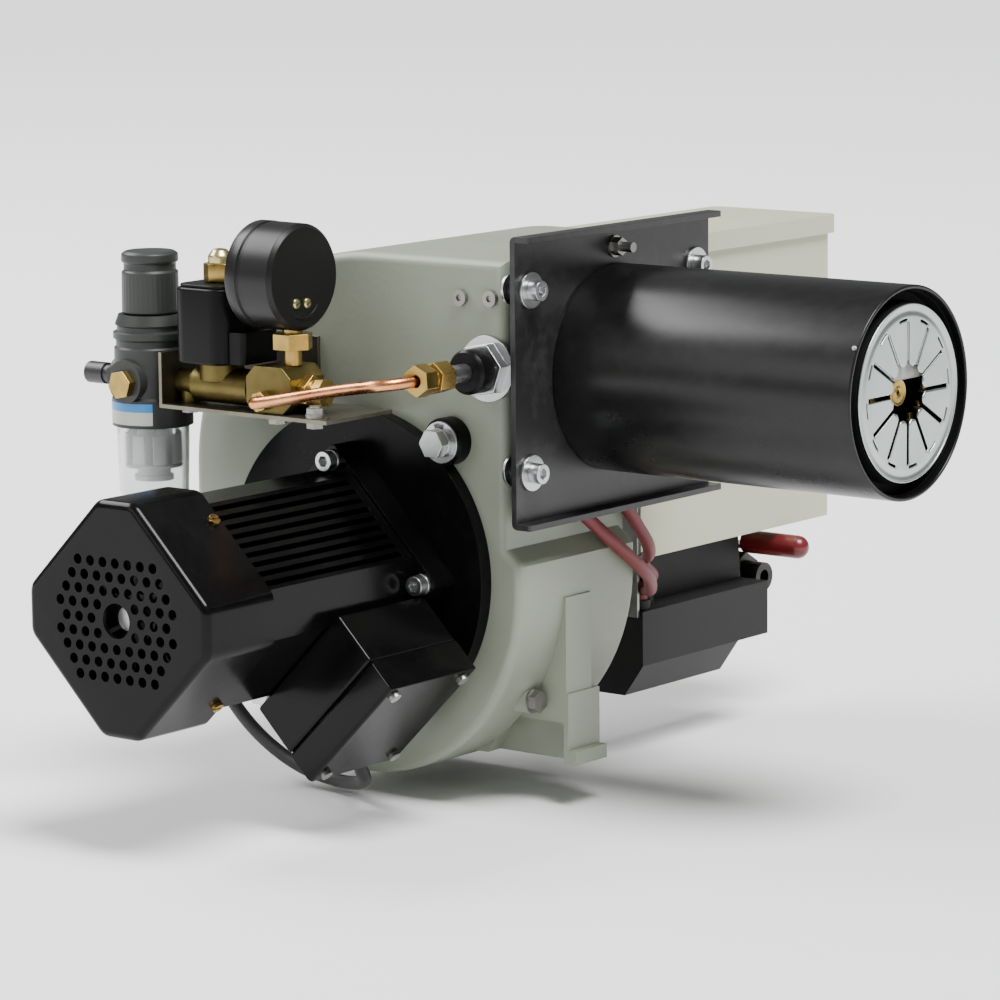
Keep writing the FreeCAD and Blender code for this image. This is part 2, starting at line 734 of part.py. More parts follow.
# Loose hardware on the housing: two pan screws, the drain plug and the flange's stud
def pan_screw(head_r, head_h, shank_r, shank_l, base, way):
    """A pan-head screw with a cross recess."""
    out = TURNS[way].multVec(V(0, 0, 1))
    back = [as_size(c) - out[i] * as_size(shank_l) for i, c in enumerate(base)]
    head = fuse(rod(shank_r, shank_l, back, way), rod(head_r, head_h, base, way))
    face = [as_size(c) + out[i] * as_size(head_h) * 0.5 for i, c in enumerate(base)]
    return cut(head, hexagon(head_r * 0.8, head_h, face, way))


def hex_bolt(across, head_h, shank_r, shank_l, base, way, spin=0):
    out = TURNS[way].multVec(V(0, 0, 1))
    back = [as_size(c) - out[i] * as_size(shank_l) for i, c in enumerate(base)]
    return fuse(rod(shank_r, shank_l, back, way), hexagon(across, head_h, base, way, spin))


plug_x = scroll_x + 62 + PLUG_BOSS
stud = rod(2.5, 18, (-flange_t - 3, 0, stud_height), "+X")
stud_nut = cut(hexagon(8, 4, (1.2, 0, stud_height), "+X"), rod(2.5 + slip, 6, (0.2, 0, stud_height), "+X"))
stud_washer = pipe(5.5, 2.5 + slip, 1.2, (0, 0, stud_height), "+X")
stud_back = cut(hexagon(8, 4, (-flange_t - 4, 0, stud_height), "+X"),
                rod(2.5 + slip, 6, (-flange_t - 5, 0, stud_height), "+X"))
housing_bits = [stud, stud_nut, stud_washer, stud_back,
                fuse(rod(6.4, 1, (plug_x + 0.02, plug_y, scroll_z - 61), "+X"),
                     hexagon(10, 5, (plug_x + 0.02, plug_y, scroll_z - 61), "+X"))]
for x, z in PAN_SCREWS:
    housing_bits.append(pan_screw(4, 2.4, 1.5, 3, (x, side_y - 0.02, z), "-Y"))

# Air inlet: a shutter disc that turns on a pivot in front of the three windows
shutter = Piece("air_shutter")
disc = shutter.sketch("XZ", -(scroll_far_y + fit_gap), motor_x, motor_z)
ring(disc, 0, 0, inlet_r)
ring(disc, 0, 0, 3 + slip)
shutter.pad(disc, 1.5, "disc")
shutter.body.Tip.Reversed = True
gap = shutter.sketch("XZ", -(scroll_far_y + fit_gap), motor_x, motor_z)
outline(gap, window_outline(inlet_r * 0.36, inlet_r * 0.94, 29, 90))
first_gap = shutter.pocket(gap, 1.5, "window", False)
shutter.polar(first_gap, (gap, ["N_Axis"]), 3)
tab = shutter.sketch("XZ", -(scroll_far_y + fit_gap), motor_x, motor_z)
rectangle(tab, inlet_r * 0.6, -1, inlet_r * 0.9, 1)
shutter.pad(tab, 9, "finger_tab")
shutter.body.Tip.Reversed = True
part("air_shutter", shutter.body)
pivot_y = scroll_far_y + fit_gap + 1.5 + fit_gap
housing_bits.append(fuse(rod(3, 8, (motor_x, pivot_y - 8, motor_z), "+Y"),
                         rod(6, 3, (motor_x, pivot_y, motor_z), "+Y")))

# Motor plate: a glossy disc with a bolt lug at either side
plate = Piece("motor_plate")
face = plate.sketch("XZ", -side_y, motor_x, motor_z)
ring(face, 0, 0, plate_r)
plate.pad(face, plate_t, "disc")
for side in (-1, 1):
    lug = plate.sketch("XZ", -side_y, motor_x, motor_z)
    ring(lug, lug_reach * LUG_COS * side, lug_reach * LUG_SIN * side, lug_r)
    plate.pad(lug, plate_t, "lug")
holes = plate.sketch("XZ", -side_y, motor_x, motor_z)
ring(holes, 0, 0, 18)
for side in (-1, 1):
    ring(holes, lug_reach * LUG_COS * side, lug_reach * LUG_SIN * side, 4 + slip)
    ring(holes, motor_bolt_r * side, 0, 3 + slip)
    ring(holes, 0, motor_bolt_r * side, 3 + slip)
plate.pocket(holes, plate_t, "holes")
part("motor_plate", plate.body)

# Motor body: square flange on edge and an eight-sided finned barrel
plate_front_y = side_y - plate_t
motor_front_y = plate_front_y - motor_flange_t


def rim_point(face_distance, along, angle):
    """A point on a face whose normal has that angle, so far along the face."""
    a = math.radians(angle)
    return (face_distance * math.cos(a) - along * math.sin(a),
            face_distance * math.sin(a) + along * math.cos(a))


def eight_sided(flat, face):
    """An octagon on the motor axis: flats left, right, top, bottom and slanted faces between."""
    reach = face * math.sqrt(2) - flat
    return [(flat, -reach), (flat, reach), (reach, flat), (-reach, flat),
            (-flat, reach), (-flat, -reach), (-reach, -flat), (reach, -flat)]


motor = Piece("motor_body")
square = motor.sketch("XZ", -plate_front_y, motor_x, motor_z)
outline(square, eight_sided(motor_flange_corner, motor_flange_face))
motor.pad(square, motor_flange_t, "flange")
barrel = motor.sketch("XZ", -motor_front_y, motor_x, motor_z)
outline(barrel, eight_sided(body_flat, body_face))
motor.pad(barrel, motor_front_y - body_rear_y, "barrel")
FIN_PITCH = 5.8
FIN_END = 5
FIN_GAP = 3
for angle in (45, 135, 225):
    grooves = motor.sketch("XZ", -(body_rear_y), motor_x, motor_z)
    for i in range(-4, 5):
        low = body_face * (i * FIN_PITCH - FIN_GAP / 2) / 44.5
        high = body_face * (i * FIN_PITCH + FIN_GAP / 2) / 44.5
        outline(grooves, [rim_point(body_face - fin_depth, low, angle), rim_point(body_face + 2, low, angle),
                          rim_point(body_face + 2, high, angle),
                          rim_point(body_face - fin_depth, high, angle)])
    motor.pocket(grooves, motor_front_y - body_rear_y - 5, "fin_gaps", False)
rim = motor.sketch("XZ", -(body_rear_y + FIN_END), motor_x, motor_z)
outline(rim, eight_sided(cover_flat - cover_wall - 0.02, cover_face - cover_wall - 0.02))
motor.pad(rim, FIN_END, "cover_seat")
bore = motor.sketch("XZ", -body_rear_y, motor_x, motor_z)
ring(bore, 0, 0, stator_r + slip)
motor.pocket(bore, motor_front_y - body_rear_y - 14, "stator_bore", False)
seat = motor.sketch("XZ", -plate_front_y, motor_x, motor_z)
ring(seat, 0, 0, 16 + slip)
for side in (-1, 1):
    ring(seat, motor_bolt_r * side, 0, 3 + slip)
    ring(seat, 0, motor_bolt_r * side, 3 + slip)
motor.pocket(seat, motor_flange_t + 20, "bearing_seat_and_holes")
part("motor_body", motor.body)

# Motor inside: stator, rotor, shaft, bearings, end bell and the cooling fan
stator_front_y = motor_front_y - 22
stator_len = 78
stack_y = stator_front_y - stator_len
part("stator_core", pipe(stator_r, rotor_r + air_gap, stator_len, (motor_x, stack_y, motor_z), "+Y"))
part("rotor_core", pipe(rotor_r, shaft_r, stator_len + 6, (motor_x, stack_y - 3, motor_z), "+Y"))
shaft_tail_y = cover_front_y + 8
shaft = rod(shaft_r, -40 - shaft_tail_y, (motor_x, shaft_tail_y, motor_z), "+Y")
flat_cut = block((12, 20, 4), (motor_x - 6, -60, motor_z + shaft_r - 1))
part("motor_shaft", cut(shaft, flat_cut))
BEARING_W = 9
front_bearing = pipe(16, shaft_r + slip, BEARING_W, (motor_x, motor_front_y, motor_z), "+Y")
rear_bearing = pipe(16, shaft_r + slip, BEARING_W, (motor_x, body_rear_y + 1, motor_z), "+Y")
part("motor_bearings", group(front_bearing, rear_bearing))
bell = fuse(rod(stator_r, 8, (motor_x, body_rear_y + 4, motor_z), "+Y"),
            rod(20, 12, (motor_x, body_rear_y, motor_z), "+Y"))
part("end_bell", cut(bell, rod(16 + slip, 12, (motor_x, body_rear_y - 2, motor_z), "+Y"),
                     rod(shaft_r + 1, 30, (motor_x, body_rear_y - 2, motor_z), "+Y")))
fan = Piece("cooling_fan")
hub = fan.sketch("XZ", -(cover_rear_y - 14), motor_x, motor_z)
ring(hub, 0, 0, 11)
ring(hub, 0, 0, shaft_r + slip)
fan.pad(hub, 18, "hub")
web = fan.sketch("XZ", -(cover_rear_y - 14), motor_x, motor_z)
ring(web, 0, 0, 38)
ring(web, 0, 0, shaft_r + slip)
fan.pad(web, 2, "disc")
blade = fan.sketch("XZ", -(cover_rear_y - 15), motor_x, motor_z)
rectangle(blade, 10, -1, 37.5, 1)
first_blade = fan.pad(blade, 15, "blade")
fan.polar(first_blade, (blade, ["N_Axis"]), 7)
part("cooling_fan", fan.body)

# Impeller: a squirrel cage of forward-curved blades between a back plate and a ring
wheel_back_y = side_y + 16
wheel_front_y = wheel_back_y + impeller_width
wheel = Piece("impeller")
back = wheel.sketch("XZ", -wheel_back_y, motor_x, motor_z)
ring(back, 0, 0, impeller_r)
ring(back, 0, 0, shaft_r + slip)
wheel.pad(back, 2, "back_plate")
wheel.body.Tip.Reversed = True
hub = wheel.sketch("XZ", -wheel_back_y, motor_x, motor_z)
ring(hub, 0, 0, 13)
ring(hub, 0, 0, shaft_r + slip)
wheel.pad(hub, 20, "hub")
wheel.body.Tip.Reversed = True
BLADE_T = 1.2
BLADES = 32


def blade_outline():
    """A forward-curved blade: two arcs about one centre, joined by short straight ends."""
    cx = impeller_r * 0.87
    cy = -(impeller_r * 0.13)
    a = math.radians(60)
    b = math.radians(148)
    inner = impeller_r * 0.17 - BLADE_T / 2
    outer = impeller_r * 0.17 + BLADE_T / 2
    return [(cx + inner * math.cos(a), cy + inner * math.sin(a)),
            (cx + outer * math.cos(a), cy + outer * math.sin(a), cx, cy, 1),
            (cx + outer * math.cos(b), cy + outer * math.sin(b)),
            (cx + inner * math.cos(b), cy + inner * math.sin(b), cx, cy, -1)]


blade = wheel.sketch("XZ", -(wheel_back_y + 1), motor_x, motor_z)
outline(blade, blade_outline())
first_blade = wheel.pad(blade, impeller_width - 2, "blade")
first_blade.Reversed = True
wheel.polar(first_blade, (blade, ["N_Axis"]), BLADES)
front_ring = wheel.sketch("XZ", -(wheel_front_y - 2), motor_x, motor_z)
ring(front_ring, 0, 0, impeller_r)
ring(front_ring, 0, 0, impeller_r * 0.72)
wheel.pad(front_ring, 2, "front_ring")
wheel.body.Tip.Reversed = True
part("impeller", wheel.body)

# Fan cover: a folded eight-sided cap with round vents in staggered rows
cover = Piece("fan_cover")
shell = cover.sketch("XZ", -cover_rear_y, motor_x, motor_z)
outline(shell, eight_sided(cover_flat, cover_face))
cover.pad(shell, cover_rear_y - cover_front_y, "cap")
cover.rounds(lambda e: runs(e, "Y"), cover_corner, "corner_rounds")
cover.rounds(lambda e: lies(e, "Y", cover_front_y), 4, "front_round")
inside = cover.sketch("XZ", -cover_rear_y, motor_x, motor_z)
outline(inside, eight_sided(cover_flat - cover_wall, cover_face - cover_wall))
cover.pocket(inside, cover_rear_y - cover_front_y - cover_wall, "inside")
vent_pitch = dim("vent_pitch", 8)
vent_r = dim("vent_r", 2.5)
vents = cover.sketch("XZ", -cover_front_y, motor_x, motor_z)
ring(vents, 0, 0, 8.5)
for row in range(-4, 5):
    for column in range(-5, 6):
        x = column + (row % 2) * 0.5
        y = row * math.sin(math.radians(60))
        if 1.6 < math.hypot(x, y) < 4.65:
            ring(vents, vent_pitch * x, vent_pitch * y, vent_r)
cover.pocket(vents, cover_wall + 1, "vents", False)
part("fan_cover", cover.body)
cover_bolts = []
for angle in (45, -45, 135, 225):
    x, z = rim_point(cover_face + 0.02, 14 if angle > 0 else -14, angle)
    spin = FreeCAD.Rotation(V(0, 1, 0), 90 - angle)
    head = doc.addObject("Part::Cylinder", "head")
    head.Radius = 3
    head.Height = 2.4
    place(head, (motor_x + x, cover_rear_y - 6, motor_z + z), spin)
    slot = doc.addObject("Part::Box", "slot")
    slot.Length = 1
    slot.Width = 8
    slot.Height = 1.2
    tip_x, tip_z = rim_point(cover_face + 1.4, 14 if angle > 0 else -14, angle)
    corner = spin.multVec(V(-0.5, -4, 0))
    place(slot, (motor_x + tip_x + corner.x, cover_rear_y - 6 + corner.y, motor_z + tip_z + corner.z), spin)
    cover_bolts.append(cut(head, slot))
part("cover_screws", group(*cover_bolts))

# Motor bolts: four cap screws in the square flange, two hexagon bolts in the lugs
motor_bolts = []
for x, z in ((motor_bolt_r, 0), (-motor_bolt_r, 0), (0, motor_bolt_r), (0, -motor_bolt_r)):
    x = motor_x + x
    z = motor_z + z
    motor_bolts.append(pipe(5.3, 3 + slip, 1.8, (x, motor_front_y - 1.8, z), "+Y"))
    motor_bolts.append(socket_screw(5, 5.6, 3, motor_flange_t + 9, (x, motor_front_y - 1.8, z), "-Y"))
for side in (-1, 1):
    x = motor_x + lug_reach * LUG_COS * side
    z = motor_z + lug_reach * LUG_SIN * side
    motor_bolts.append(pipe(10.5, 4 + slip, 2, (x, plate_front_y - 2, z), "+Y"))
    motor_bolts.append(pipe(7.2, 4 + slip, 2, (x, plate_front_y - 4, z), "+Y"))
    motor_bolts.append(hex_bolt(13, 5.6, 4, 15.5, (x, plate_front_y - 4, z), "-Y"))
part("motor_bolts", group(*motor_bolts))

# Terminal box on the motor's lower right face
ON_EDGE = FreeCAD.Rotation(V(0, 1, 0), 45)


def leaning_block(low_k, high_k, low_t, high_t, low_y, high_y):
    """A block square to the motor's lower right face: k runs out from the axis, t along."""
    thing = doc.addObject("Part::Box", "leaning")
    bind(thing, "Length", as_size(high_k) - low_k)
    bind(thing, "Width", as_size(high_y) - low_y)
    bind(thing, "Height", as_size(high_t) - low_t)
    low_k = as_size(low_k)
    low_t = as_size(low_t)
    return place(thing, (motor_x + (low_k + low_t) * DIAG, low_y, motor_z + (low_t - low_k) * DIAG), ON_EDGE)


seat_k = body_face + 0.02
lid_k = box_top - box_lid_h
tray = leaning_block(seat_k, lid_k, -box_half, box_half, box_front_y, box_rear_y)
tray_room = leaning_block(seat_k + 3, lid_k + 1, -box_half + 3, box_half - 3, box_front_y + 3, box_rear_y - 3)
part("terminal_box", cut(tray, tray_room))
lid = leaning_block(lid_k, box_top, -box_half, box_half, box_front_y, box_rear_y)
lid = softened(lid, 2.5, lambda e: lies(e, "Y", box_front_y) and e.Length > box_lid_h.value + 1)
lid_room = leaning_block(lid_k - 1, box_top - 3, -box_half + 3, box_half - 3, box_front_y + 3, box_rear_y - 3)
part("terminal_lid", cut(lid, lid_room))
for t in (-1, 1):
    for y in (box_front_y + 7, box_rear_y - 7):
        base_k = box_top + 0.02
        base_t = (box_half - 6) * t
        screw = rod(3, 2.2, (motor_x + (base_k + base_t) * DIAG, y, motor_z + (base_t - base_k) * DIAG))
        screw.Placement.Rotation = FreeCAD.Rotation(V(0, 1, 0), 135)
        housing_bits.append(screw)
capacitor_k = seat_k + 3 + 13.02
capacitor_t = -16
cap_x = motor_x + (capacitor_k + capacitor_t) * DIAG
cap_z = motor_z + (capacitor_t - capacitor_k) * DIAG
part("capacitor", rod(13, 52, (cap_x, box_front_y + 6, cap_z), "+Y"))


# Cords: round sections swept along straight runs joined by tangent arcs
def rounded_path(corners, bends):
    """Wire through the corners with a tangent arc at each, of its own radius or smaller."""
    edges = []
    at = corners[0]
    radii = []
    for i in range(1, len(corners) - 1):
        before = (corners[i - 1] - corners[i])
        after = (corners[i + 1] - corners[i])
        limit = 0.49 * min(before.Length, after.Length)
        before.normalize()
        after.normalize()
        half = before.getAngle(after) / 2
        reach = min(bends[i - 1] / math.tan(half), limit)
        r = reach * math.tan(half)
        radii.append(round(r, 1))
        start = corners[i] + before * reach
        end = corners[i] + after * reach
        middle = before + after
        middle.normalize()
        top = corners[i] + middle * (r / math.sin(half) - r)
        edges.append(Part.makeLine(at, start))
        edges.append(Part.Arc(start, top, end).toShape())
        at = end
    edges.append(Part.makeLine(at, corners[-1]))
    return Part.Wire(edges), radii


def cord(corners, radius, bends):
    """A solid round cord along a path; its volume is compared with section times length."""
    points = [V(*[as_size(c).value for c in corner]) for corner in corners]
    path, radii = rounded_path(points, bends)
    way = points[1] - points[0]
    section = Part.Wire(Part.makeCircle(as_size(radius).value, points[0], way))
    solid = path.makePipeShell([section], True, False)
    wanted = math.pi * as_size(radius).value ** 2 * path.Length
    print("cord length %.0f mm, bends %s" % (path.Length, radii))
    print("cord volume %.3f of section times length" % (solid.Volume / wanted))
    return solid


def held_cord(label, shapes):
    thing = doc.addObject("Part::Feature", label)
    thing.Shape = shapes[0] if len(shapes) == 1 else Part.Compound(shapes)
    return part(label, thing)


cord_y = side_y - 5
cord_k = lid_k + box_lid_h / 2
cord_start_x = motor_x + (cord_k - box_half) * DIAG
cord_start_z = motor_z - (cord_k + box_half) * DIAG
held_cord("motor_lead", [cord([
    (cord_start_x, -112, cord_start_z), (cord_start_x - 7, -112, cord_start_z - 7),
    (-84, -96, -207), (-118, cord_y, -214), (-151, cord_y, -208),
    (-184, cord_y, -188), (-207, cord_y, -157), (-214, cord_y, -127), (-209, cord_y, -112),
    (cord_x, cord_y, cord_z), (cord_x, side_y + 10, cord_z)], cord_r, [9, 14, 14, 20, 20, 20, 14, 10, 4.8])])
term_x = box_x - 6
term_a_y = control_near_y + 8
term_b_y = control_near_y + 19
term_top_z = trafo_step_z + 5
held_cord("ignition_leads", [
    cord([(front_x - 5, lead_a_y, lead_start_z), (-7.6, lead_a_y, lead_start_z), (-7.6, -16, -74),
          (1.6, -2, -90), (1.6, 26, -109), (-16, 52, -121), (-36.5, 79, -130), (term_x, term_a_y, -129.5),
          (term_x, term_a_y, term_top_z + 0.02)], lead_r, [4.3, 8, 14, 14, 14, 10, 4.2]),
    cord([(front_x - 5, lead_b_y, lead_start_z), (-7.6, lead_b_y, lead_start_z), (-7.6, 26, -82),
          (-10, 46, -102), (-33, 64, -112), (-38, 86, -123), (term_x - 6, term_b_y, -128),
          (term_x - 6, term_b_y, term_top_z + 0.02)], lead_r, [4.3, 14, 14, 14, 12, 5])])

# Bulkhead: the air line passes the side wall in a screwed fitting
bulk_body = fuse(rod(8, 22, (bulkhead_x, side_y - 18, bulkhead_z), "+Y"),
                 hexagon(24, 6, (bulkhead_x, side_y - 2, bulkhead_z), "-Y", 10),
                 rod(16.5, 2, (bulkhead_x, side_y - 2 - 0.01, bulkhead_z), "+Y"),
                 rod(4.5, 34, (bulkhead_x, side_y - 34, bulkhead_z), "+Y"))
bulk_nut = cut(hexagon(19, 9, (bulkhead_x, side_y - 8.05, bulkhead_z), "-Y", 10),
               rod(8 + slip, 14, (bulkhead_x, side_y - 6, bulkhead_z), "-Y"))
part("bulkhead_fitting", group(bulk_body, bulk_nut))
nut_y = side_y - 34
compression = [cut(fuse(hexagon(14, 11, (bulkhead_x, nut_y, bulkhead_z), "-Y", 20),
                        rod(5.2, 3, (bulkhead_x, nut_y - 11, bulkhead_z), "-Y"),
                        hexagon(14, 9, (bulkhead_x, nut_y - 14, bulkhead_z), "-Y", 35)),
                   rod(copper_r + slip, 30, (bulkhead_x, nut_y + 1, bulkhead_z), "-Y"))]
pipe_end_x = manifold_x - 2
compression.append(cut(hexagon(9.2, 5.4, (pipe_end_x, train_y - 13.02, -11.5), "-Y", 15),
                       rod(copper_r + slip, 14, (pipe_end_x, train_y - 12, -11.5), "-Y")))
held_cord("copper_pipe", [cord([
    (bulkhead_x, nut_y - 0.1, bulkhead_z), (bulkhead_x, copper_y, bulkhead_z),
    (-56, copper_y, 0.5), (-104, copper_y, -9.5), (pipe_end_x, copper_y + 1, -11.5),
    (pipe_end_x, train_y - 13.1, -11.5)], copper_r, [9, 20, 20, 6])])

# Bracket: a folded shelf on the side wall with an upright tab at the regulator
shelf_left_x = dim("shelf_left_x", -186)
shelf_right_x = dim("shelf_right_x", -76)
shelf_front_y = dim("shelf_front_y", -134)
shelf_neck_x = shelf_left_x + 56
ring_r = regulator_r + 1.6
ring_top_z = dim("ring_top_z", -16.5)
ring_low_z = dim("ring_low_z", -31.5)
shelf_wide = block((shelf_neck_x - shelf_left_x, side_y - shelf_front_y, shelf_t),
                   (shelf_left_x, shelf_front_y, shelf_z))
shelf_end = block((shelf_right_x - shelf_neck_x, side_y - plate_t - 1 - shelf_front_y, shelf_t),
                  (shelf_neck_x, shelf_front_y, shelf_z))
shelf = fuse(shelf_wide, shelf_end)
wall_leg = block((56, shelf_t, 34), (shelf_left_x, side_y - shelf_t, shelf_z))
side_tab = block((shelf_t, 34, 28), (shelf_left_x, shelf_front_y, shelf_z))
shelf_holes = [rod(2.2, 8, (shelf_right_x - 7, shelf_front_y + 8, shelf_z - 3)),
               rod(3 + slip, 8, (-88, train_y - 10, shelf_z - 3)),
               rod(3 + slip, 8, (manifold_x, train_y - 6, shelf_z - 3)),
               rod(3 + slip, 8, (-179, train_y, shelf_z - 3)),
               rod(6.5 + slip, 8, (shelf_left_x - 3, train_y, train_z), "+X"),
               rod(ring_r + fit_gap, ring_top_z + fit_gap - ring_low_z, (regulator_x, train_y, ring_low_z))]
part("valve_bracket", cut(fuse(shelf, wall_leg, side_tab), *shelf_holes))
shelf_bolts = [hex_bolt(8, 3.4, 3, 7, (-179, train_y, shelf_z - 0.02), "-Z"),
               hex_bolt(8, 3.4, 3, 2, (manifold_x, train_y - 6, shelf_z - 0.02), "-Z"),
               fuse(rod(3, 11, (-88, train_y - 10, shelf_z - 3.02)),
                    hexagon(8, 3, (-88, train_y - 10, shelf_z - 3.02)),
                    hexagon(8, 4, (-88, train_y - 10, shelf_z + shelf_t + 1)),
                    rod(5, 2, (-88, train_y - 10, shelf_z + shelf_t + 0.02)))]
housing_bits.extend(shelf_bolts)
part("housing_screws", group(*housing_bits))

# Air regulator with its knob, clear bowl, filter element, drain and side ports
reg = Piece("regulator_body")
profile = reg.sketch("XZ", -train_y, regulator_x, 0)
cavity_z = ring_low_z + 12
outline(profile, [(0, cavity_z), (15.5, cavity_z), (15.5, ring_low_z), (ring_r, ring_low_z),
                  (ring_r, ring_top_z - 1.2), (regulator_r - 0.02, ring_top_z), (regulator_r - 0.02, 8),
                  (regulator_r - 1, 9), (regulator_r - 1, 12),
                  (regulator_r + 0.4, 13), (regulator_r + 0.4, 16), (regulator_r - 1.6, 17),
                  (regulator_r - 1.6, 19), (regulator_r - 0.6, 20), (regulator_r - 2.4, 25),
                  (4.5, 25), (4.5, 40), (0, 40)])
reg.revolve(profile, "V_Axis")
boss = reg.sketch("XZ", -train_y, regulator_x, train_z)
ring(boss, 0, 0, 11)
reg.pad(boss, regulator_r + 2, "front_boss")
left_boss = reg.sketch("YZ", regulator_x, train_y, train_z)
ring(left_boss, 0, 0, 10)
reg.pad(left_boss, regulator_r + 2.5, "inlet_boss")
reg.body.Tip.Reversed = True
outlet = reg.sketch("YZ", regulator_x, train_y, train_z)
ring(outlet, 0, 0, 6.5)
reg.pad(outlet, shelf_left_x - regulator_x + shelf_t, "outlet_neck")
part("regulator_body", reg.body)
compression.append(hexagon(13, 4, (regulator_x, train_y - regulator_r - 2.02, train_z - 1), "-Y", 12))
knob = Piece("regulator_knob")
profile = knob.sketch("XZ", -train_y, regulator_x, 0)
outline(profile, [(4.55, 25.3), (14, 25.3), (14.6, 26.5), (14.6, 43), (13.6, 45), (13.2, 49), (14, 51),
                  (14.3, 52), (14.3, 55.6), (13.6, 56.2), (0, 57.2), (0, 40.5), (4.55, 40.5)])
knob.revolve(profile, "V_Axis")
flute = knob.sketch("XY", 26.5, regulator_x, train_y)
ring(flute, 15.3, 0, 1.2)
first_flute = knob.pocket(flute, 16, "flute", True)
knob.polar(first_flute, (flute, ["N_Axis"]), 18)
part("regulator_knob", knob.body)
bowl = Piece("regulator_bowl")
profile = bowl.sketch("XZ", -train_y, regulator_x, 0)
bowl_z = ring_low_z - fit_gap
outline(profile, [(3 + slip, bowl_z - 43.7), (8, bowl_z - 43.7), (14, bowl_z - 40.7), (17.6, bowl_z - 33.7),
                  (18.4, bowl_z), (15.1, bowl_z), (15.1, bowl_z + 8.3),
                  (13, bowl_z + 8.3), (13, bowl_z + 0.3),
                  (15.4, bowl_z - 31.7), (12, bowl_z - 38.7), (3 + slip, bowl_z - 41.2)])
bowl.revolve(profile, "V_Axis")
part("regulator_bowl", bowl.body)
filter_core = pipe(8.5, 4, 34, (regulator_x, train_y, bowl_z - 25.7))
filter_cap = rod(10, 2.4, (regulator_x, train_y, bowl_z - 28.1))
filter_neck = pipe(6, 4, cavity_z - bowl_z - 8.3, (regulator_x, train_y, bowl_z + 8.3))
part("filter_element", fuse(filter_core, filter_cap, filter_neck))
part("drain_knob", fuse(rod(3, 8, (regulator_x, train_y, bowl_z - 44)),
                        rod(6, 8, (regulator_x, train_y, bowl_z - 52.1)),
                        rod(5, 1.6, (regulator_x, train_y, bowl_z - 36.9))))
elbow_x = regulator_x - regulator_r - 2.5
elbow = fuse(hexagon(13, 4, (elbow_x - 0.02, train_y, train_z), "-X"),
             rod(4.8, 7, (elbow_x - 4, train_y, train_z), "-X"),
             rod(5.6, 12, (elbow_x - 9, train_y, train_z), "-X"))
part("air_elbow", cut(elbow, rod(4, 20, (elbow_x - 9, train_y, train_z), "-X")))

# Solenoid valve: brass body, tube with a sliding plunger, coil, cap nut and plug
body_neck_x = shelf_left_x + shelf_t + 0.02
valve_left_x = valve_x - 14
coil_lift = dim("coil_lift", 12)
barrel_end_x = manifold_x - manifold_half - 4
valve_barrel = rod(9.2, barrel_end_x - valve_left_x, (valve_left_x, train_y, train_z), "+X")
valve_out = rod(6.8, 5, (barrel_end_x - 1.02, train_y, train_z), "+X")
valve_in = rod(6.5, 13, (body_neck_x, train_y, train_z), "+X")
valve_post = rod(4.9, 12, (-179, train_y, shelf_z + shelf_t))
valve_top = rod(11.3, coil_lift - 3, (valve_x, train_y, train_z + 3))
valve_stem = rod(5.8, 47, (valve_x, train_y, train_z + coil_lift - 1))
valve_hole = rod(3.6, 40, (valve_x, train_y, train_z + coil_lift))
bolt_tap = rod(3 + slip, 6, (-179, train_y, shelf_z + shelf_t - 1))
part("solenoid_valve_body", cut(fuse(valve_barrel, valve_in, valve_out, valve_post, valve_top, valve_stem),
                                valve_hole, bolt_tap))
part("plunger", rod(3.55, 26, (valve_x, train_y, train_z + coil_lift + fit_gap)))
coil_z = train_z + coil_lift + 0.02
coil = block((coil_w, coil_w + 4, coil_h), (valve_x - coil_w / 2, train_y - coil_w / 2 - 2, coil_z))
coil = softened(coil, 9, lambda e: runs(e, "Z"))
part("solenoid_coil", cut(coil, rod(5.8 + slip, coil_h + 4, (valve_x, train_y, coil_z - 2))))
coil_top = coil_z + coil_h
nut_hex = hexagon(15, 9, (valve_x, train_y, coil_top))
nut_dome = rod(6, 9, (valve_x, train_y, coil_top + 8))
nut_dome = softened(nut_dome, 4, lambda e: lies(e, "Z", coil_top + 17))
part("coil_nut", cut(fuse(nut_hex, nut_dome), rod(5.8 + slip, 9, (valve_x, train_y, coil_top - 2))))
plug_x = valve_x + coil_w / 2 + 0.02
plug = block((9.5, 27, 16), (plug_x, train_y - 13.5, coil_z + 1))
part("coil_plug", fuse(softened(plug, 3, lambda e: runs(e, "Z") and lies(e, "X", plug_x + 9.5)),
                       rod(4.5, 6, (plug_x + 4.75, train_y + 13, coil_z + 9), "+Y")))

# Brass block with its plugs, and the gauge standing on it
manifold = Piece("manifold_block")
face = manifold.sketch("XZ", -(train_y + 13), manifold_x, train_z)
CORNER = 0.62
block_floor = shelf_z + shelf_t - train_z + 0.02
outline(face, [(-manifold_half, -5), (-manifold_half * CORNER, block_floor),
               (manifold_half * CORNER, block_floor), (manifold_half, -5), (manifold_half, 8),
               (manifold_half * CORNER, 13.5), (-manifold_half * CORNER, 13.5), (-manifold_half, 8)])
manifold.pad(face, 26, "block")
part("manifold_block", manifold.body)
block_right_x = manifold_x + manifold_half
right_hex = [hexagon(15, 5, (block_right_x, train_y, train_z + 1), "+X", 8),
             rod(6, 2.5, (block_right_x + 5, train_y, train_z + 1), "+X"),
             hexagon(13, 5, (block_right_x + 7.5, train_y, train_z + 1), "+X", 22)]
compression.append(fuse(*right_hex))
stem_base_z = train_z + 13.5
stem = fuse(rod(4.5, 9, (gauge_x, train_y, stem_base_z)),
            hexagon(18, 8, (gauge_x, train_y, stem_base_z + 8)),
            rod(5, 4, (gauge_x, train_y, stem_base_z + 16)))
part("gauge_stem", stem)
gauge_back_x = gauge_x + 8
case = Piece("gauge_case")
profile = case.sketch("XY", gauge_z, 0, train_y)
inner_r = gauge_r - 2
gauge_face_x = gauge_back_x - gauge_depth
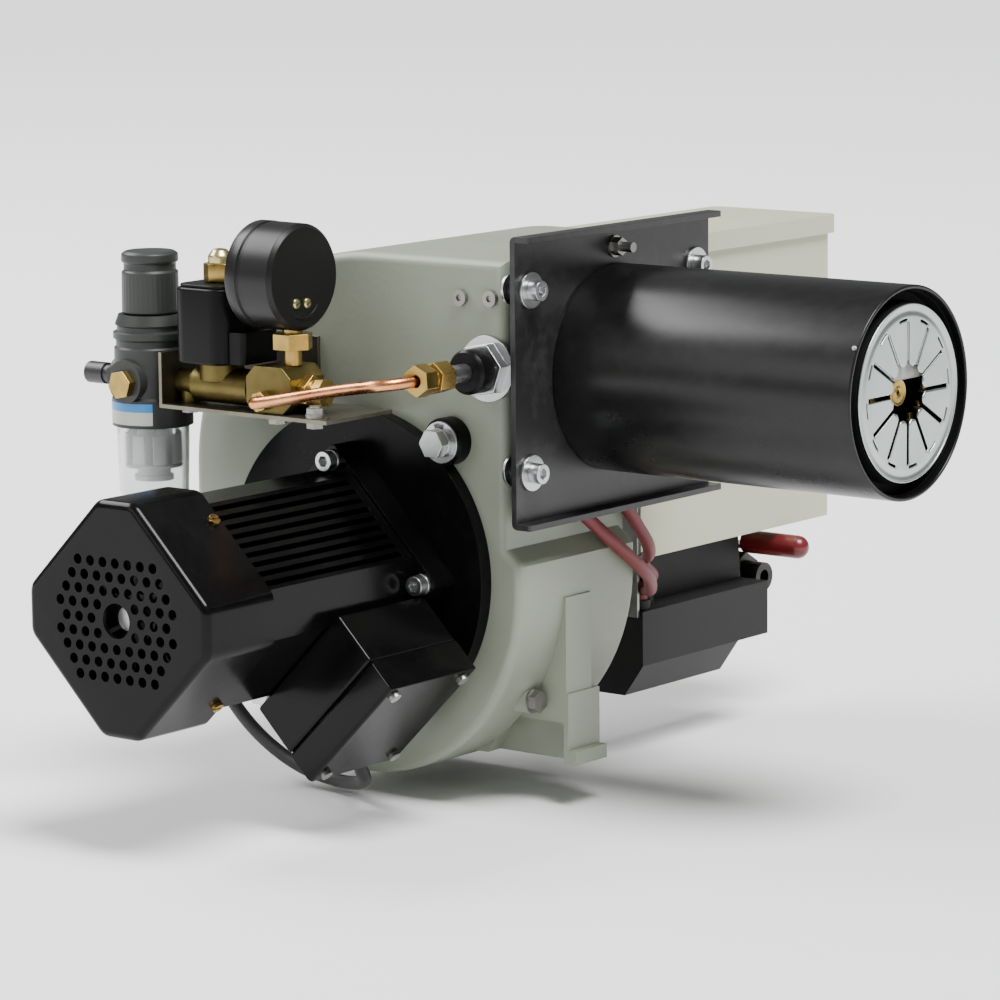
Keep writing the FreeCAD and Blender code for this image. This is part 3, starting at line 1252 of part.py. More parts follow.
outline(profile, [(gauge_back_x - 2, 0), (gauge_back_x - 2, inner_r - 3), (gauge_face_x, inner_r - 3),
                  (gauge_face_x, gauge_r - 0.6), (gauge_face_x + 1, gauge_r),
                  (gauge_face_x + 7, gauge_r), (gauge_face_x + 7.6, gauge_r - 0.8),
                  (gauge_face_x + 8.8, gauge_r - 0.8), (gauge_face_x + 9.4, gauge_r - 0.2),
                  (gauge_back_x - 2, gauge_r - 0.4), (gauge_back_x, gauge_r - 2.4), (gauge_back_x, 0)])
case.revolve(profile, "H_Axis")
dial_x = gauge_face_x + 5
dial = cut(rod(inner_r - 3.1, 1, (dial_x, train_y, gauge_z), "+X"),
           rod(1 + slip, 3, (dial_x - 1, train_y, gauge_z), "+X"))
stem_hole = rod(5 + slip, 6, (gauge_x, train_y, stem_base_z + 14))
part("gauge_case", group(cut(case.body, stem_hole), dial))
part("gauge_lens", rod(inner_r - 3.1, 1.6, (gauge_face_x + 0.4, train_y, gauge_z), "+X"))
pointer = taper(1.1, 0.3, 15, (dial_x - 1.1, train_y, gauge_z))
pointer.Placement.Rotation = FreeCAD.Rotation(V(1, 0, 0), -135)
needle = fuse(rod(1, 3.4, (dial_x - 1.5, train_y, gauge_z), "+X"),
              rod(2.4, 0.8, (dial_x - 1.5, train_y, gauge_z), "+X"), pointer)
part("gauge_needle", needle)

# Control box on its mounting plate, with a lid, a reset button and the ignition transformer
plate_back = box_x - box_depth
mount_sheet = block((box_depth - 1, 2, control_top_z - trafo_step_z + 2),
                    (plate_back, plate_y, trafo_step_z - 3))
box_len = control_far_y - control_near_y
tub = block((box_depth, box_len, control_top_z - control_floor_z),
            (plate_back, control_near_y, control_floor_z))
tub = softened(tub, 6, lambda e: runs(e, "Z") and lies(e, "Y", control_far_y))
tub_room = block((box_depth - 2 * sheet_wall, box_len - 2 * sheet_wall, control_top_z - control_floor_z),
                 (plate_back + sheet_wall, control_near_y + sheet_wall, control_floor_z + sheet_wall))
button_z = control_top_z - 60
button_x = box_x - box_depth / 2
button_hole = rod(7 + slip, 8, (button_x, control_far_y - 5, button_z), "+Y")
gland_x = button_x + 18
gland_z = control_floor_z + 26
gland_hole = rod(7 + slip, 8, (gland_x, control_far_y - 5, gland_z), "+Y")
gland = cut(fuse(rod(7, 9, (gland_x, control_far_y - 4.5, gland_z), "+Y"),
                 hexagon(19, 5, (gland_x, control_far_y + 0.02, gland_z), "+Y"),
                 rod(8, 12, (gland_x, control_far_y + 3, gland_z), "+Y")),
            rod(3.6, 30, (gland_x, control_far_y - 8, gland_z), "+Y"))
compression.append(gland)
part("control_box", cut(tub, tub_room, button_hole, gland_hole))
cap = block((box_depth + 2 * lid_over, box_len + lid_over - 0.3, lid_lip),
            (plate_back - lid_over, control_near_y + 0.3, control_top_z - lid_lip + sheet_wall + 0.4))
cap = softened(cap, 6, lambda e: runs(e, "Z") and lies(e, "Y", control_far_y + lid_over))
cap_room = block((box_depth + 2 * (lid_over - sheet_wall), box_len + lid_over - sheet_wall, lid_lip),
                 (plate_back - lid_over + sheet_wall, control_near_y - 0.2, control_top_z - lid_lip + 0.02))
part("control_lid", cut(cap, cap_room))
part("reset_button", fuse(rod(7, 8, (button_x, control_far_y - 3, button_z), "+Y"),
                          rod(9, 2, (button_x, control_far_y - 4.1, button_z), "+Y")))
trafo = Piece("transformer")
profile = trafo.sketch("XZ", -trafo_far_y)
x_front = box_x + 1
belly_z = trafo_floor_z + 17
outline(profile, [(plate_back + 3, belly_z), (x_front, belly_z), (x_front, trafo_step_z),
                  (x_front - 18, trafo_step_z), (x_front - 20, control_floor_z - 0.02),
                  (plate_back + 5, control_floor_z - 0.02), (plate_back + 3, trafo_step_z)])
trafo.pad(profile, trafo_far_y - control_near_y, "body")
profile = trafo.sketch("XZ", -(trafo_far_y - 28))
outline(profile, [(plate_back + 15, trafo_floor_z), (x_front - 12, trafo_floor_z),
                  (x_front, belly_z), (plate_back + 3, belly_z)])
trafo.pad(profile, trafo_far_y - 28 - control_near_y, "belly")
posts = trafo.sketch("XY", trafo_step_z)
ring(posts, term_x, term_a_y, 5)
ring(posts, term_x - 6, term_b_y, 5)
trafo.pad(posts, 5, "terminals")
part("transformer", trafo.body)

part("brass_fittings", group(*compression))

# Fuel valve under the far end of the box, with its quarter-turn lever and supply line
valve_shell = fuse(hexagon(22, 36, (fuel_x - 18, fuel_y, fuel_z), "+X", 0),
                   rod(8, 12, (fuel_x + 18, fuel_y, fuel_z), "+X"),
                   rod(6, 6, (fuel_x, fuel_y, fuel_z + 9), "+Z"))
fuel_nut = fuse(rod(7.95, 2.1, (fuel_x - 18, fuel_y, fuel_z), "-X"),
                hexagon(16, 8, (fuel_x - 20.05, fuel_y, fuel_z), "-X"))
part("fuel_valve_body", cut(fuse(valve_shell, fuel_nut), ball(7 + slip, (fuel_x, fuel_y, fuel_z)),
                            rod(4, 60, (fuel_x, fuel_y, fuel_z), "+X"),
                            rod(copper_r + slip, 40, (fuel_x, fuel_y, fuel_z), "-X"),
                            rod(3 + slip, 30, (fuel_x, fuel_y, fuel_z), "+Z")))
lever_z = fuel_z + 15.4
lever_ball = cut(ball(7, (fuel_x, fuel_y, fuel_z)), rod(4, 20, (fuel_x - 10, fuel_y, fuel_z), "+X"))
lever_bar = block((34, 11, 2.4), (fuel_x - 6, fuel_y - 5.5, lever_z))
lever_stem = rod(3, 21, (fuel_x, fuel_y, fuel_z + 4))
lever_nut = hexagon(9, 3.4, (fuel_x, fuel_y, lever_z + 2.4))
grip = fuse(rod(6.4, 34, (fuel_x + 18, fuel_y, lever_z + 3.4), "+X"),
            ball(6.4, (fuel_x + 52, fuel_y, lever_z + 3.4)))
part("fuel_lever", fuse(lever_ball, lever_stem, lever_bar, lever_nut))
part("lever_grip", cut(grip, block((10.2, 11.1, 2.5), (fuel_x + 17.9, fuel_y - 5.55, lever_z - 0.05))))
strap = block((2, 26, 44), (fuel_x - 20, fuel_y - 13, control_floor_z - 44.02))
strap_foot = block((18, 26, 2), (fuel_x - 20 - 16, fuel_y - 13, control_floor_z - 2.02))
fuel_strap = cut(fuse(strap, strap_foot), rod(8, 10, (fuel_x - 24, fuel_y, fuel_z), "+X"))
part("mounting_plates", group(mount_sheet, fuel_strap))
held_cord("fuel_pipe", [cord([
    (fuel_x - 12, fuel_y, fuel_z), (fuel_line_x, fuel_y, fuel_z), (fuel_line_x, fuel_in_y, fuel_z + 30),
    (fuel_line_x, fuel_in_y, -20), (bulkhead_x - 8, 30, -20), (bulkhead_x - 8, 22, bulkhead_z - 6),
    (bulkhead_x - 8, 11.02, bulkhead_z - 6)], copper_r, [14, 16, 16, 16, 8])])

# Checks, then one STEP file for each sub-part
doc.recompute()
faults = []
for thing in doc.Objects:
    if "Invalid" in thing.State or "Error" in thing.State:
        faults.append("%s (%s) is in error" % (thing.Name, thing.Label))
for name, thing in parts.items():
    shape = thing.Shape
    if shape.isNull() or not shape.isValid() or not shape.Solids:
        faults.append("%s has no valid solid" % name)
if faults:
    raise RuntimeError("; ".join(faults))
os.makedirs("parts", exist_ok=True)
for name, thing in parts.items():
    thing.Shape.exportStep("parts/%s.step" % name)
print("%d sub-parts written" % len(parts))
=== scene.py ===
# %% [markdown]
# # A small diesel burner
# The burner blows air and a fine mist of oil through the black tube, where a spark lights it. Its
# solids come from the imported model, and this lesson dresses them: each step says what a piece is,
# how it could be made, and why one way was chosen. First the tools are fetched and the model loaded.

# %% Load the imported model
import bpy
import bmesh
import json
import math
import numpy as np
from mathutils import Matrix, Vector

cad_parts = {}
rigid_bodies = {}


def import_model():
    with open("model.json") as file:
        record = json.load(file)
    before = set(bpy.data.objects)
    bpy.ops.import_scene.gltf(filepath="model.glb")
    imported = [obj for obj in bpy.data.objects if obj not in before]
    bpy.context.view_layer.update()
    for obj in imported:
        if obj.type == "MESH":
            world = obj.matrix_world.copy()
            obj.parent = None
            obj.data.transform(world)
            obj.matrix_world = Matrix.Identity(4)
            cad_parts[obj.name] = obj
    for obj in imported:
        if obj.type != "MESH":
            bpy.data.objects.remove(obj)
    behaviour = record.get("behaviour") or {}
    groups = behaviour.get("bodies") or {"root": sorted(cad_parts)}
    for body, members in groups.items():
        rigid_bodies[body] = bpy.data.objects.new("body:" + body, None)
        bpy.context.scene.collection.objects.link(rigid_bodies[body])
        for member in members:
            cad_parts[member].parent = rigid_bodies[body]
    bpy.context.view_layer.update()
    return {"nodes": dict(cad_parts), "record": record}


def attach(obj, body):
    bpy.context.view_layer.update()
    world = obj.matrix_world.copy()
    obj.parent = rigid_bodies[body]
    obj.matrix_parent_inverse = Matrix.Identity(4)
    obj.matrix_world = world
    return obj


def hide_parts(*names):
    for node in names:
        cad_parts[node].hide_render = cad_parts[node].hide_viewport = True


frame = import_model()
node_body = {node: body for body, nodes in frame["record"]["behaviour"]["bodies"].items() for node in nodes}

# %% [markdown]
# ## Shader sums as plain expressions
# A finish is a small tree of nodes. Wiring Math nodes by hand is slow to read, so one class wraps a
# socket and lets Python's own signs add the nodes: `0.3 + (cloud - 0.5) * 0.2` becomes three of them.
# A second class holds a material and adds every other kind of node through one method.

# %% The socket wrapper
class Wire:
    """A socket that can stand in a sum; each sign adds one Math node."""

    def __init__(self, finish, socket):
        self.finish = finish
        self.socket = socket

    def sum(self, operation, first, second):
        """One Math node that joins first and second by its operation."""
        return self.finish.add("ShaderNodeMath", {"operation": operation}, {0: first, 1: second})

    def __add__(self, other): return self.sum("ADD", self, other)
    def __radd__(self, other): return self.sum("ADD", other, self)
    def __sub__(self, other): return self.sum("SUBTRACT", self, other)
    def __rsub__(self, other): return self.sum("SUBTRACT", other, self)
    def __mul__(self, other): return self.sum("MULTIPLY", self, other)
    def __rmul__(self, other): return self.sum("MULTIPLY", other, self)


print("signs that add a Math node: + - *")

# %% The material wrapper
class Finish:
    """One material: a Principled shader with its constants, and the nodes that feed it."""

    def __init__(self, name, **constants):
        self.material = bpy.data.materials.new(name)
        self.material.use_nodes = True
        self.tree = self.material.node_tree
        self.shader = self.tree.nodes["Principled BSDF"]
        for key, value in constants.items():
            self.feed(self.shader, key.replace("_", " "), value)
        self.place = self.add("ShaderNodeTexCoord", out="Object")

    def feed(self, node, key, value):
        """Links a wire to the named socket, or sets the socket's own number or colour."""
        socket = node.inputs[key]
        if isinstance(value, Wire):
            self.tree.links.new(value.socket, socket)
        elif hasattr(socket.default_value, "__len__") and len(socket.default_value) == 4 and len(value) == 3:
            socket.default_value = (*value, 1.0)
        else:
            socket.default_value = value

    def add(self, kind, settings=None, inputs=None, out=0):
        """Any node: its type, its settings, then the values or wires of its sockets."""
        node = self.tree.nodes.new(kind)
        for key, value in (settings or {}).items():
            if key == "stops":
                ramp = node.color_ramp
                while len(ramp.elements) < len(value):
                    ramp.elements.new(0.5)
                for element, (position, level) in zip(ramp.elements, value):
                    element.position = position
                    element.color = (level, level, level, 1.0)
            else:
                setattr(node, key, value)
        for key, value in (inputs or {}).items():
            self.feed(node, key, value)
        return Wire(self, node.outputs[out])

    def noise(self, scale, detail):
        """Cloudy noise from 0 to 1 on the object's own metres; scale is how many clouds a metre holds."""
        return self.add("ShaderNodeTexNoise", {}, {"Vector": self.place, "Scale": scale, "Detail": detail,
                                                   "Roughness": 0.55})

    def ramp(self, value, *stops):
        """A value carried over to the greys of (position, level) stops."""
        return self.add("ShaderNodeValToRGB", {"stops": stops}, {"Fac": value})

    def mix(self, mask, first, second):
        """The first colour where the mask is 0 and the second where it is 1."""
        return self.add("ShaderNodeMix", {"data_type": "RGBA"}, {0: mask, 6: first, 7: second}, out=2)

    def set(self, **links):
        """Feeds the shader's own sockets, which are named with _ for a space."""
        for key, value in links.items():
            self.feed(self.shader, key.replace("_", " "), value)

    def bump(self, height, depth):
        """Height is in the noise's own 0 to 1, and depth is what it stands for in millimetres."""
        lifted = self.add("ShaderNodeBump", {}, {"Strength": 1.0, "Distance": depth * 0.001,
                                                 "Height": height})
        self.feed(self.shader, "Normal", lifted)
        return self


print("shader tools ready")

# %% [markdown]
# ## Paints
# The paints differ in colour, gloss and dust, so one recipe makes them all. Real paint is never even: dust
# dulls it in cloudy patches and its skin has the faint ripple of an orange. Both come from noise on
# the object's own coordinates, which keeps them still when the camera moves.

# %% Paint recipe
def paint(name, colour, gloss, ripple=0.05, ripple_scale=260.0, dust=0.0, dust_colour=(0.3, 0.29, 0.27),
          coat=0.0, mottle=0.06, shine=0.5):
    """Paint: even colour, cloudy roughness, a rippled skin and a little settled dust."""
    made = Finish(name, Roughness=gloss, Coat_Weight=coat, Coat_Roughness=0.12, Specular_IOR_Level=shine)
    cloud = made.noise(14.0, 4.0)
    speck = made.noise(160.0, 2.0)
    darker = tuple(level * (1 - 2.5 * mottle) for level in colour)
    skin = made.mix(made.ramp(cloud, (0.32, 0.0), (0.7, 1.0)), darker, colour)
    if dust:
        settled = made.ramp(cloud * 0.6 + speck * 0.4, (0.48, 0.0), (0.75, 1.0)) * dust
        skin = made.mix(settled, skin, dust_colour)
    made.set(Base_Color=skin, Roughness=gloss + (cloud - 0.5) * 0.16 + (speck - 0.5) * 0.05)
    return made.bump(made.noise(ripple_scale, 2.0), ripple)


print("a paint can be matt or glossy, clean or dusty")

# %% Paints
tube_black = paint("tube_black", (0.0050, 0.0050, 0.0053), 0.29, ripple=0.02, dust=0.02, shine=0.30)
flange_black = paint("flange_black", (0.0125, 0.0125, 0.013), 0.38, ripple=0.03, dust=0.08, shine=0.45)
motor_black = paint("motor_black", (0.0024, 0.0024, 0.0026), 0.20, ripple=0.05, ripple_scale=180.0,
                    dust=0.010, coat=0.05, shine=0.11)
plate_black = paint("plate_black", (0.0024, 0.0024, 0.0026), 0.30, ripple=0.04, dust=0.012, coat=0.02,
                    shine=0.10)
gauge_black = paint("gauge_black", (0.0052, 0.0052, 0.0054), 0.34, ripple=0.012, shine=0.28)
soot_black = paint("soot_black", (0.0035, 0.0035, 0.0035), 0.75, ripple=0.02, shine=0.15)
casting_grey = paint("casting_grey", (0.238, 0.262, 0.202), 0.44, ripple=0.10, ripple_scale=330.0, dust=0.08,
                     dust_colour=(0.22, 0.218, 0.19), mottle=0.03)
box_cream = paint("box_cream", (0.465, 0.478, 0.348), 0.38, ripple=0.03, dust=0.05,
                  dust_colour=(0.33, 0.32, 0.27), mottle=0.02)
print("paints:", len(bpy.data.materials))

# %% [markdown]
# ## Metals
# Zinc, brass and copper are bare, so their colour lives in the reflection. Fine scratches run all
# over and the tint shifts where fingers and air have worked on it, so both colour and roughness
# follow noise. The two tints of copper stand for the darker patches that bending leaves.

# %% Metal recipe
def metal(name, colour, tarnish, gloss, cloud_scale=40.0, scratch=0.02, spread=0.18):
    """Bare metal: two tints mixed by cloud noise, roughness by fine noise, tiny scratches."""
    made = Finish(name, Metallic=1.0, Roughness=gloss)
    cloud = made.noise(cloud_scale, 4.0)
    fine = made.noise(420.0, 2.0)
    made.set(Base_Color=made.mix(made.ramp(cloud, (0.35, 0.0), (0.68, 1.0)), tarnish, colour),
             Roughness=gloss + (cloud - 0.5) * spread + (fine - 0.5) * 0.12)
    return made.bump(fine, scratch)


print("a metal takes a clean tint and a tarnished one")

# %% Metals
zinc = metal("zinc", (0.56, 0.57, 0.575), (0.46, 0.468, 0.47), 0.30, cloud_scale=70.0, scratch=0.006,
             spread=0.08)
steel = metal("steel", (0.55, 0.55, 0.55), (0.36, 0.35, 0.34), 0.32)
dull_zinc = metal("dull_zinc", (0.36, 0.355, 0.33), (0.22, 0.215, 0.20), 0.42, cloud_scale=60.0)
brass = metal("brass", (0.50, 0.345, 0.10), (0.30, 0.20, 0.06), 0.31, cloud_scale=70.0, spread=0.25)
dull_brass = metal("dull_brass", (0.170, 0.132, 0.045), (0.10, 0.076, 0.026), 0.42, cloud_scale=60.0,
                   spread=0.22)
yellow_zinc = metal("yellow_zinc", (0.60, 0.50, 0.22), (0.40, 0.38, 0.20), 0.30, cloud_scale=120.0)
sheet_zinc = metal("sheet_zinc", (0.23, 0.215, 0.165), (0.14, 0.13, 0.10), 0.38, cloud_scale=45.0,
                   spread=0.22)
copper = metal("copper", (0.86, 0.40, 0.18), (0.60, 0.24, 0.10), 0.28, cloud_scale=55.0, spread=0.2)
bright_zinc = metal("bright_zinc", (0.50, 0.55, 0.53), (0.41, 0.455, 0.44), 0.34, cloud_scale=35.0,
                    scratch=0.006, spread=0.10)
phosphate = metal("phosphate", (0.075, 0.074, 0.070), (0.045, 0.044, 0.042), 0.46)
aluminium = metal("aluminium", (0.62, 0.62, 0.62), (0.45, 0.45, 0.45), 0.38)
lamination = metal("lamination", (0.20, 0.20, 0.21), (0.12, 0.12, 0.125), 0.5)
print("paints and metals:", len(bpy.data.materials))

# %% [markdown]
# ## Plastics, rubber and ceramic
# Moulded plastic has a fine even grain from its mould, softer than paint. The red leads are silicone,
# which scatters a little light and looks waxy. The clear bowl lets light through but clouds it.

# %% Plastic recipe
def plastic(name, colour, gloss, grain=0.02, grain_scale=900.0, mottle=0.05, **constants):
    """Moulded plastic: nearly even colour, a fine mould grain and hardly any cloud."""
    made = Finish(name, Roughness=gloss, **constants)
    cloud = made.noise(25.0, 3.0)
    darker = tuple(level * (1 - 2 * mottle) for level in colour)
    made.set(Base_Color=made.mix(made.ramp(cloud, (0.3, 0.0), (0.7, 1.0)), darker, colour),
             Roughness=gloss + (cloud - 0.5) * 0.1)
    return made.bump(made.noise(grain_scale, 1.0), grain)


print("a plastic takes one colour and a fine grain")

# %% Plastics, rubber and ceramic
grey_plastic = plastic("grey_plastic", (0.0245, 0.0274, 0.0248), 0.45, Specular_IOR_Level=0.4)
black_plastic = plastic("black_plastic", (0.016, 0.016, 0.0168), 0.42, grain=0.04)
coil_black = plastic("coil_black", (0.0036, 0.0036, 0.0038), 0.34, grain=0.02, Specular_IOR_Level=0.13)
case_black = plastic("case_black", (0.0090, 0.0092, 0.0095), 0.55, grain=0.05, grain_scale=500.0,
                     Specular_IOR_Level=0.3)
white_plastic = plastic("white_plastic", (0.72, 0.73, 0.71), 0.45)
red_dip = plastic("red_dip", (0.125, 0.008, 0.010), 0.32, Coat_Weight=0.2)
red_silicone = plastic("red_silicone", (0.155, 0.023, 0.026), 0.52, Subsurface_Weight=0.05)
black_sheath = plastic("black_sheath", (0.014, 0.014, 0.015), 0.5)
ceramic = plastic("ceramic", (0.30, 0.30, 0.285), 0.35)
label_blue = plastic("label_blue", (0.020, 0.21, 0.52), 0.35)
label_white = plastic("label_white", (0.50, 0.51, 0.47), 0.4, mottle=0.12)
dial_white = plastic("dial_white", (0.75, 0.75, 0.73), 0.5)
# Black ink for the dial's print, also used as painted shade for the gauge screws' slots.
ink_and_slot_shade = plastic("ink_and_slot_shade", (0.010, 0.010, 0.012), 0.5)
clear_plastic = Finish("clear_plastic", Base_Color=(0.93, 0.95, 0.95), Roughness=0.12,
                       Transmission_Weight=0.86, IOR=1.4)
lens_clear = Finish("lens_clear", Base_Color=(0.95, 0.97, 0.97), Roughness=0.05,
                    Transmission_Weight=0.95, IOR=1.3)
print("materials in all:", len(bpy.data.materials))

# %% [markdown]
# ## Shapes as grids of points
# Nearly every piece here is turned, extruded or bent, so a few functions on whole arrays make them
# all. Each returns its points in millimetres and its faces; a piece is one or more such shells put
# into a single mesh, with doubles merged and the faces turned outwards.

# %% Rounded outlines
NEARLY_STRAIGHT, SIDE_SHARE = math.pi - 0.03, 0.48


def fillet(corners, radius=1.0, steps=5, closed=True):
    """Rounds a polyline: at each corner an arc tangent to both sides, centre on the bisector. It uses
    up no more than a share of either side. A corner may carry its own radius as a third number."""
    pts = [np.array(c[:2], float) for c in corners]
    radii = [c[2] if len(c) > 2 else radius for c in corners]
    out = []
    for i, p in enumerate(pts):
        if not closed and i in (0, len(pts) - 1):
            out.append(p[None])
            continue
        a, b = pts[i - 1] - p, pts[(i + 1) % len(pts)] - p
        la, lb = np.linalg.norm(a), np.linalg.norm(b)
        a, b = a / la, b / lb
        angle = math.acos(float(np.clip(a @ b, -1, 1)))
        if radii[i] <= 0 or angle > NEARLY_STRAIGHT:
            out.append(p[None])
            continue
        reach = min(radii[i] / math.tan(angle / 2), SIDE_SHARE * la, SIDE_SHARE * lb)
        r = reach * math.tan(angle / 2)
        middle = (a + b) / np.linalg.norm(a + b)
        centre = p + middle * r / math.sin(angle / 2)
        start, end = p + a * reach - centre, p + b * reach - centre
        t = np.linspace(0, 1, steps + 1)[:, None]
        turn = math.pi - angle
        out.append(centre + (np.sin((1 - t) * turn) * start + np.sin(t * turn) * end) / math.sin(turn))
    return np.concatenate(out)


print("rounded square has", len(fillet([(0, 0), (1, 0), (1, 1), (0, 1)], 0.2)), "points")

# %% Grids and turned shapes
def patch(points, wrap_u=False, wrap_v=False):
    """Faces over a grid P[u, v]: each joins (u, v), (u+1, v), (u+1, v+1) and (u, v+1)."""
    nu, nv = points.shape[:2]
    last_u, last_v = nu if wrap_u else nu - 1, nv if wrap_v else nv - 1
    u, v = np.meshgrid(np.arange(last_u), np.arange(last_v), indexing="ij")
    u2, v2 = (u + 1) % nu, (v + 1) % nv
    quads = np.stack([u * nv + v, u2 * nv + v, u2 * nv + v2, u * nv + v2], -1).reshape(-1, 4)
    return points.reshape(-1, 3), quads.tolist()


def lathe(profile, turns=96, closed=False, sweep=360.0, start=0.0):
    """Turns a profile of (radius, height) about Z: point = (r cos a, r sin a, h)."""
    profile = np.asarray(profile, float)
    whole = sweep >= 359.9
    a = np.radians(start + np.linspace(0, sweep, turns + (0 if whole else 1), endpoint=not whole))[:, None]
    r, h = profile[:, 0][None], profile[:, 1][None]
    grid = np.stack([r * np.cos(a), r * np.sin(a), h + 0 * a], -1)
    points, faces = patch(grid, whole, closed)
    if closed and not whole:
        faces += [list(range(len(profile))), list(range(len(points) - len(profile), len(points)))]
    return points, faces


print("lathe test:", len(lathe([(0, 0), (1, 0), (1, 1)])[1]), "faces")

# %% Extruded shapes
CORNER_GUARD = 0.4


def inset(outline, distance):
    """Moves a closed outline inwards: each point goes along the mean of its sides' normals,
    lengthened at corners so that every side moves by the same distance. A guard keeps it short."""
    outline = np.asarray(outline, float)
    following = np.roll(outline, -1, 0)
    area = 0.5 * np.sum(outline[:, 0] * following[:, 1] - following[:, 0] * outline[:, 1])
    side = following - outline
    side = side / np.maximum(np.linalg.norm(side, axis=1)[:, None], 1e-9)
    normal = np.stack([-side[:, 1], side[:, 0]], 1) * np.sign(area)
    before = np.roll(normal, 1, 0)
    mean = normal + before
    length = np.maximum((mean * mean).sum(1), CORNER_GUARD)[:, None]
    return outline + distance * 2 * mean / length


def stack(outline, levels):
    """Rings of one outline, each drawn in by an inset at a height; flat caps close both ends."""
    rings = np.stack([np.column_stack([inset(outline, d), np.full(len(outline), h)]) for d, h in levels])
    points, faces = patch(rings, False, True)
    n = len(outline)
    return points, faces + [list(range(n)), list(range(len(points) - n, len(points)))]


def slab(outline, low, high, edge, steps=3):
    """An extruded outline with its two rims rounded by a quarter circle: inset edge (1 - sin a) at
    height edge (1 - cos a) from either end."""
    t = np.linspace(0, math.pi / 2, steps + 1)
    lower = [(edge * (1 - math.sin(a)), low + edge * (1 - math.cos(a))) for a in t]
    return stack(outline, lower + [(d, low + high - h) for d, h in lower[::-1]])


def square(x0, y0, x1, y1, corner, steps=5):
    """A rectangle between two opposite points, with round corners."""
    return fillet([(x0, y0), (x1, y0), (x1, y1), (x0, y1)], corner, steps)


print("slab test:", len(slab(square(0, 0, 4, 4, 1), 0, 2, 0.5)[1]), "faces")

# %% [markdown]
# ## From shells to pieces
# A shell is made standing on its own Z axis, then turned and moved to its place. A finished piece's
# object stays at the origin, unturned, as every imported node does, so only its points are moved. Then it
# takes its finish, rides on a body of the model and hides the imported node it stands in for.

# %% Placing shells
WAYS = {"+Z": Matrix.Identity(3), "-Z": Matrix.Rotation(math.pi, 3, "X"),
        "+X": Matrix.Rotation(math.pi / 2, 3, "Y"), "-X": Matrix.Rotation(-math.pi / 2, 3, "Y"),
        "+Y": Matrix.Rotation(-math.pi / 2, 3, "X"), "-Y": Matrix.Rotation(math.pi / 2, 3, "X")}


def put(shell, origin=(0, 0, 0), way="+Z", spin=0.0):
    """Turns a shell's own +Z to a way, after a spin about it, and moves it to its origin."""
    turn = WAYS[way] if isinstance(way, str) else way
    turn = np.array(turn @ Matrix.Rotation(math.radians(spin), 3, "Z"))
    return shell[0] @ turn.T + np.array(origin, float), shell[1]


print("ways a shell can face:", " ".join(WAYS))

# %% Making pieces
MM = 0.001
SHARP_ABOVE, BEVEL_ABOVE = 32.0, 35.0  # degrees
MERGE_BELOW, SLIVER_BELOW = 2e-6, 1e-7  # metres


def piece(name, shells, finish, nodes=(), body=None, sharp=SHARP_ABOVE):
    """One object from shells in millimetres: points = shell points times 0.001, faces renumbered."""
    shells = shells if isinstance(shells, list) else [shells]
    start = 0
    points, faces = [], []
    for shell_points, shell_faces in shells:
        points.append(shell_points)
        faces.extend([[i + start for i in face] for face in shell_faces])
        start += len(shell_points)
    mesh = bpy.data.meshes.new(name)
    mesh.from_pydata((np.concatenate(points) * MM).tolist(), [], faces)
    return finish_piece(name, mesh, finish, nodes, body, sharp)


def finish_piece(name, mesh, finish, nodes, body=None, sharp=SHARP_ABOVE, bevel=0.0,
                 bevel_angle=BEVEL_ABOVE):
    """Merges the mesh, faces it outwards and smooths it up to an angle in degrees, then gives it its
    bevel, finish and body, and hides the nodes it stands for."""
    work = bmesh.new()
    work.from_mesh(mesh)
    bmesh.ops.remove_doubles(work, verts=work.verts, dist=MERGE_BELOW)
    bmesh.ops.dissolve_degenerate(work, edges=work.edges, dist=SLIVER_BELOW)
    bmesh.ops.recalc_face_normals(work, faces=work.faces)
    work.to_mesh(mesh)
    work.free()
    mesh.shade_smooth()
    mesh.set_sharp_from_angle(angle=math.radians(sharp))
    made = bpy.data.objects.new(name, mesh)
    bpy.context.scene.collection.objects.link(made)
    if bevel:
        rim = made.modifiers.new("rim", "BEVEL")
        rim.width = bevel * MM
        rim.segments = 3
        rim.limit_method = "ANGLE"
        rim.angle_limit = math.radians(bevel_angle)
        rim.harden_normals = True
    made.data.materials.append(finish.material)
    nodes = [nodes] if isinstance(nodes, str) else list(nodes)
    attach(made, body or node_body[nodes[0]])
    if nodes:
        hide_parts(*nodes)
    return made


print("edges stay sharp above", SHARP_ABOVE, "degrees")

# %% [markdown]
# ## The blast tube
# A rolled steel tube carries the flame into the boiler. Its rim is deburred, and inside it a darker,
# sooty wall shows for a few millimetres in front of the diffuser. A lathe profile gives both walls
# and the rounded rim at once, and a small screw sits near the rim.

# %% Blast tube
TUBE_R, TUBE_IN, TUBE_END, TUBE_SHOULDER, TUBE_TAIL = 52.0, 50.0, 175.0, 1.0, -16.5
tube_profile = fillet([(TUBE_IN, TUBE_TAIL), (TUBE_IN, TUBE_END, 0.7), (TUBE_R, TUBE_END, 0.9),
                       (TUBE_R, TUBE_SHOULDER), (TUBE_R - 1, TUBE_SHOULDER), (TUBE_R - 1, TUBE_TAIL)],
                      0.2, 6)
tube_shell = put(lathe(tube_profile, 224, closed=True), way="+X")
tube = piece("blast_tube_skin", tube_shell, tube_black, "blast_tube")
print("tube faces:", len(tube.data.polygons))

# %% Screw near the rim
def trim(name, shells, finish, sharp=SHARP_ABOVE):
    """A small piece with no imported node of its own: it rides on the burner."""
    made = piece(name, shells, finish, body="burner", sharp=sharp)
    return made


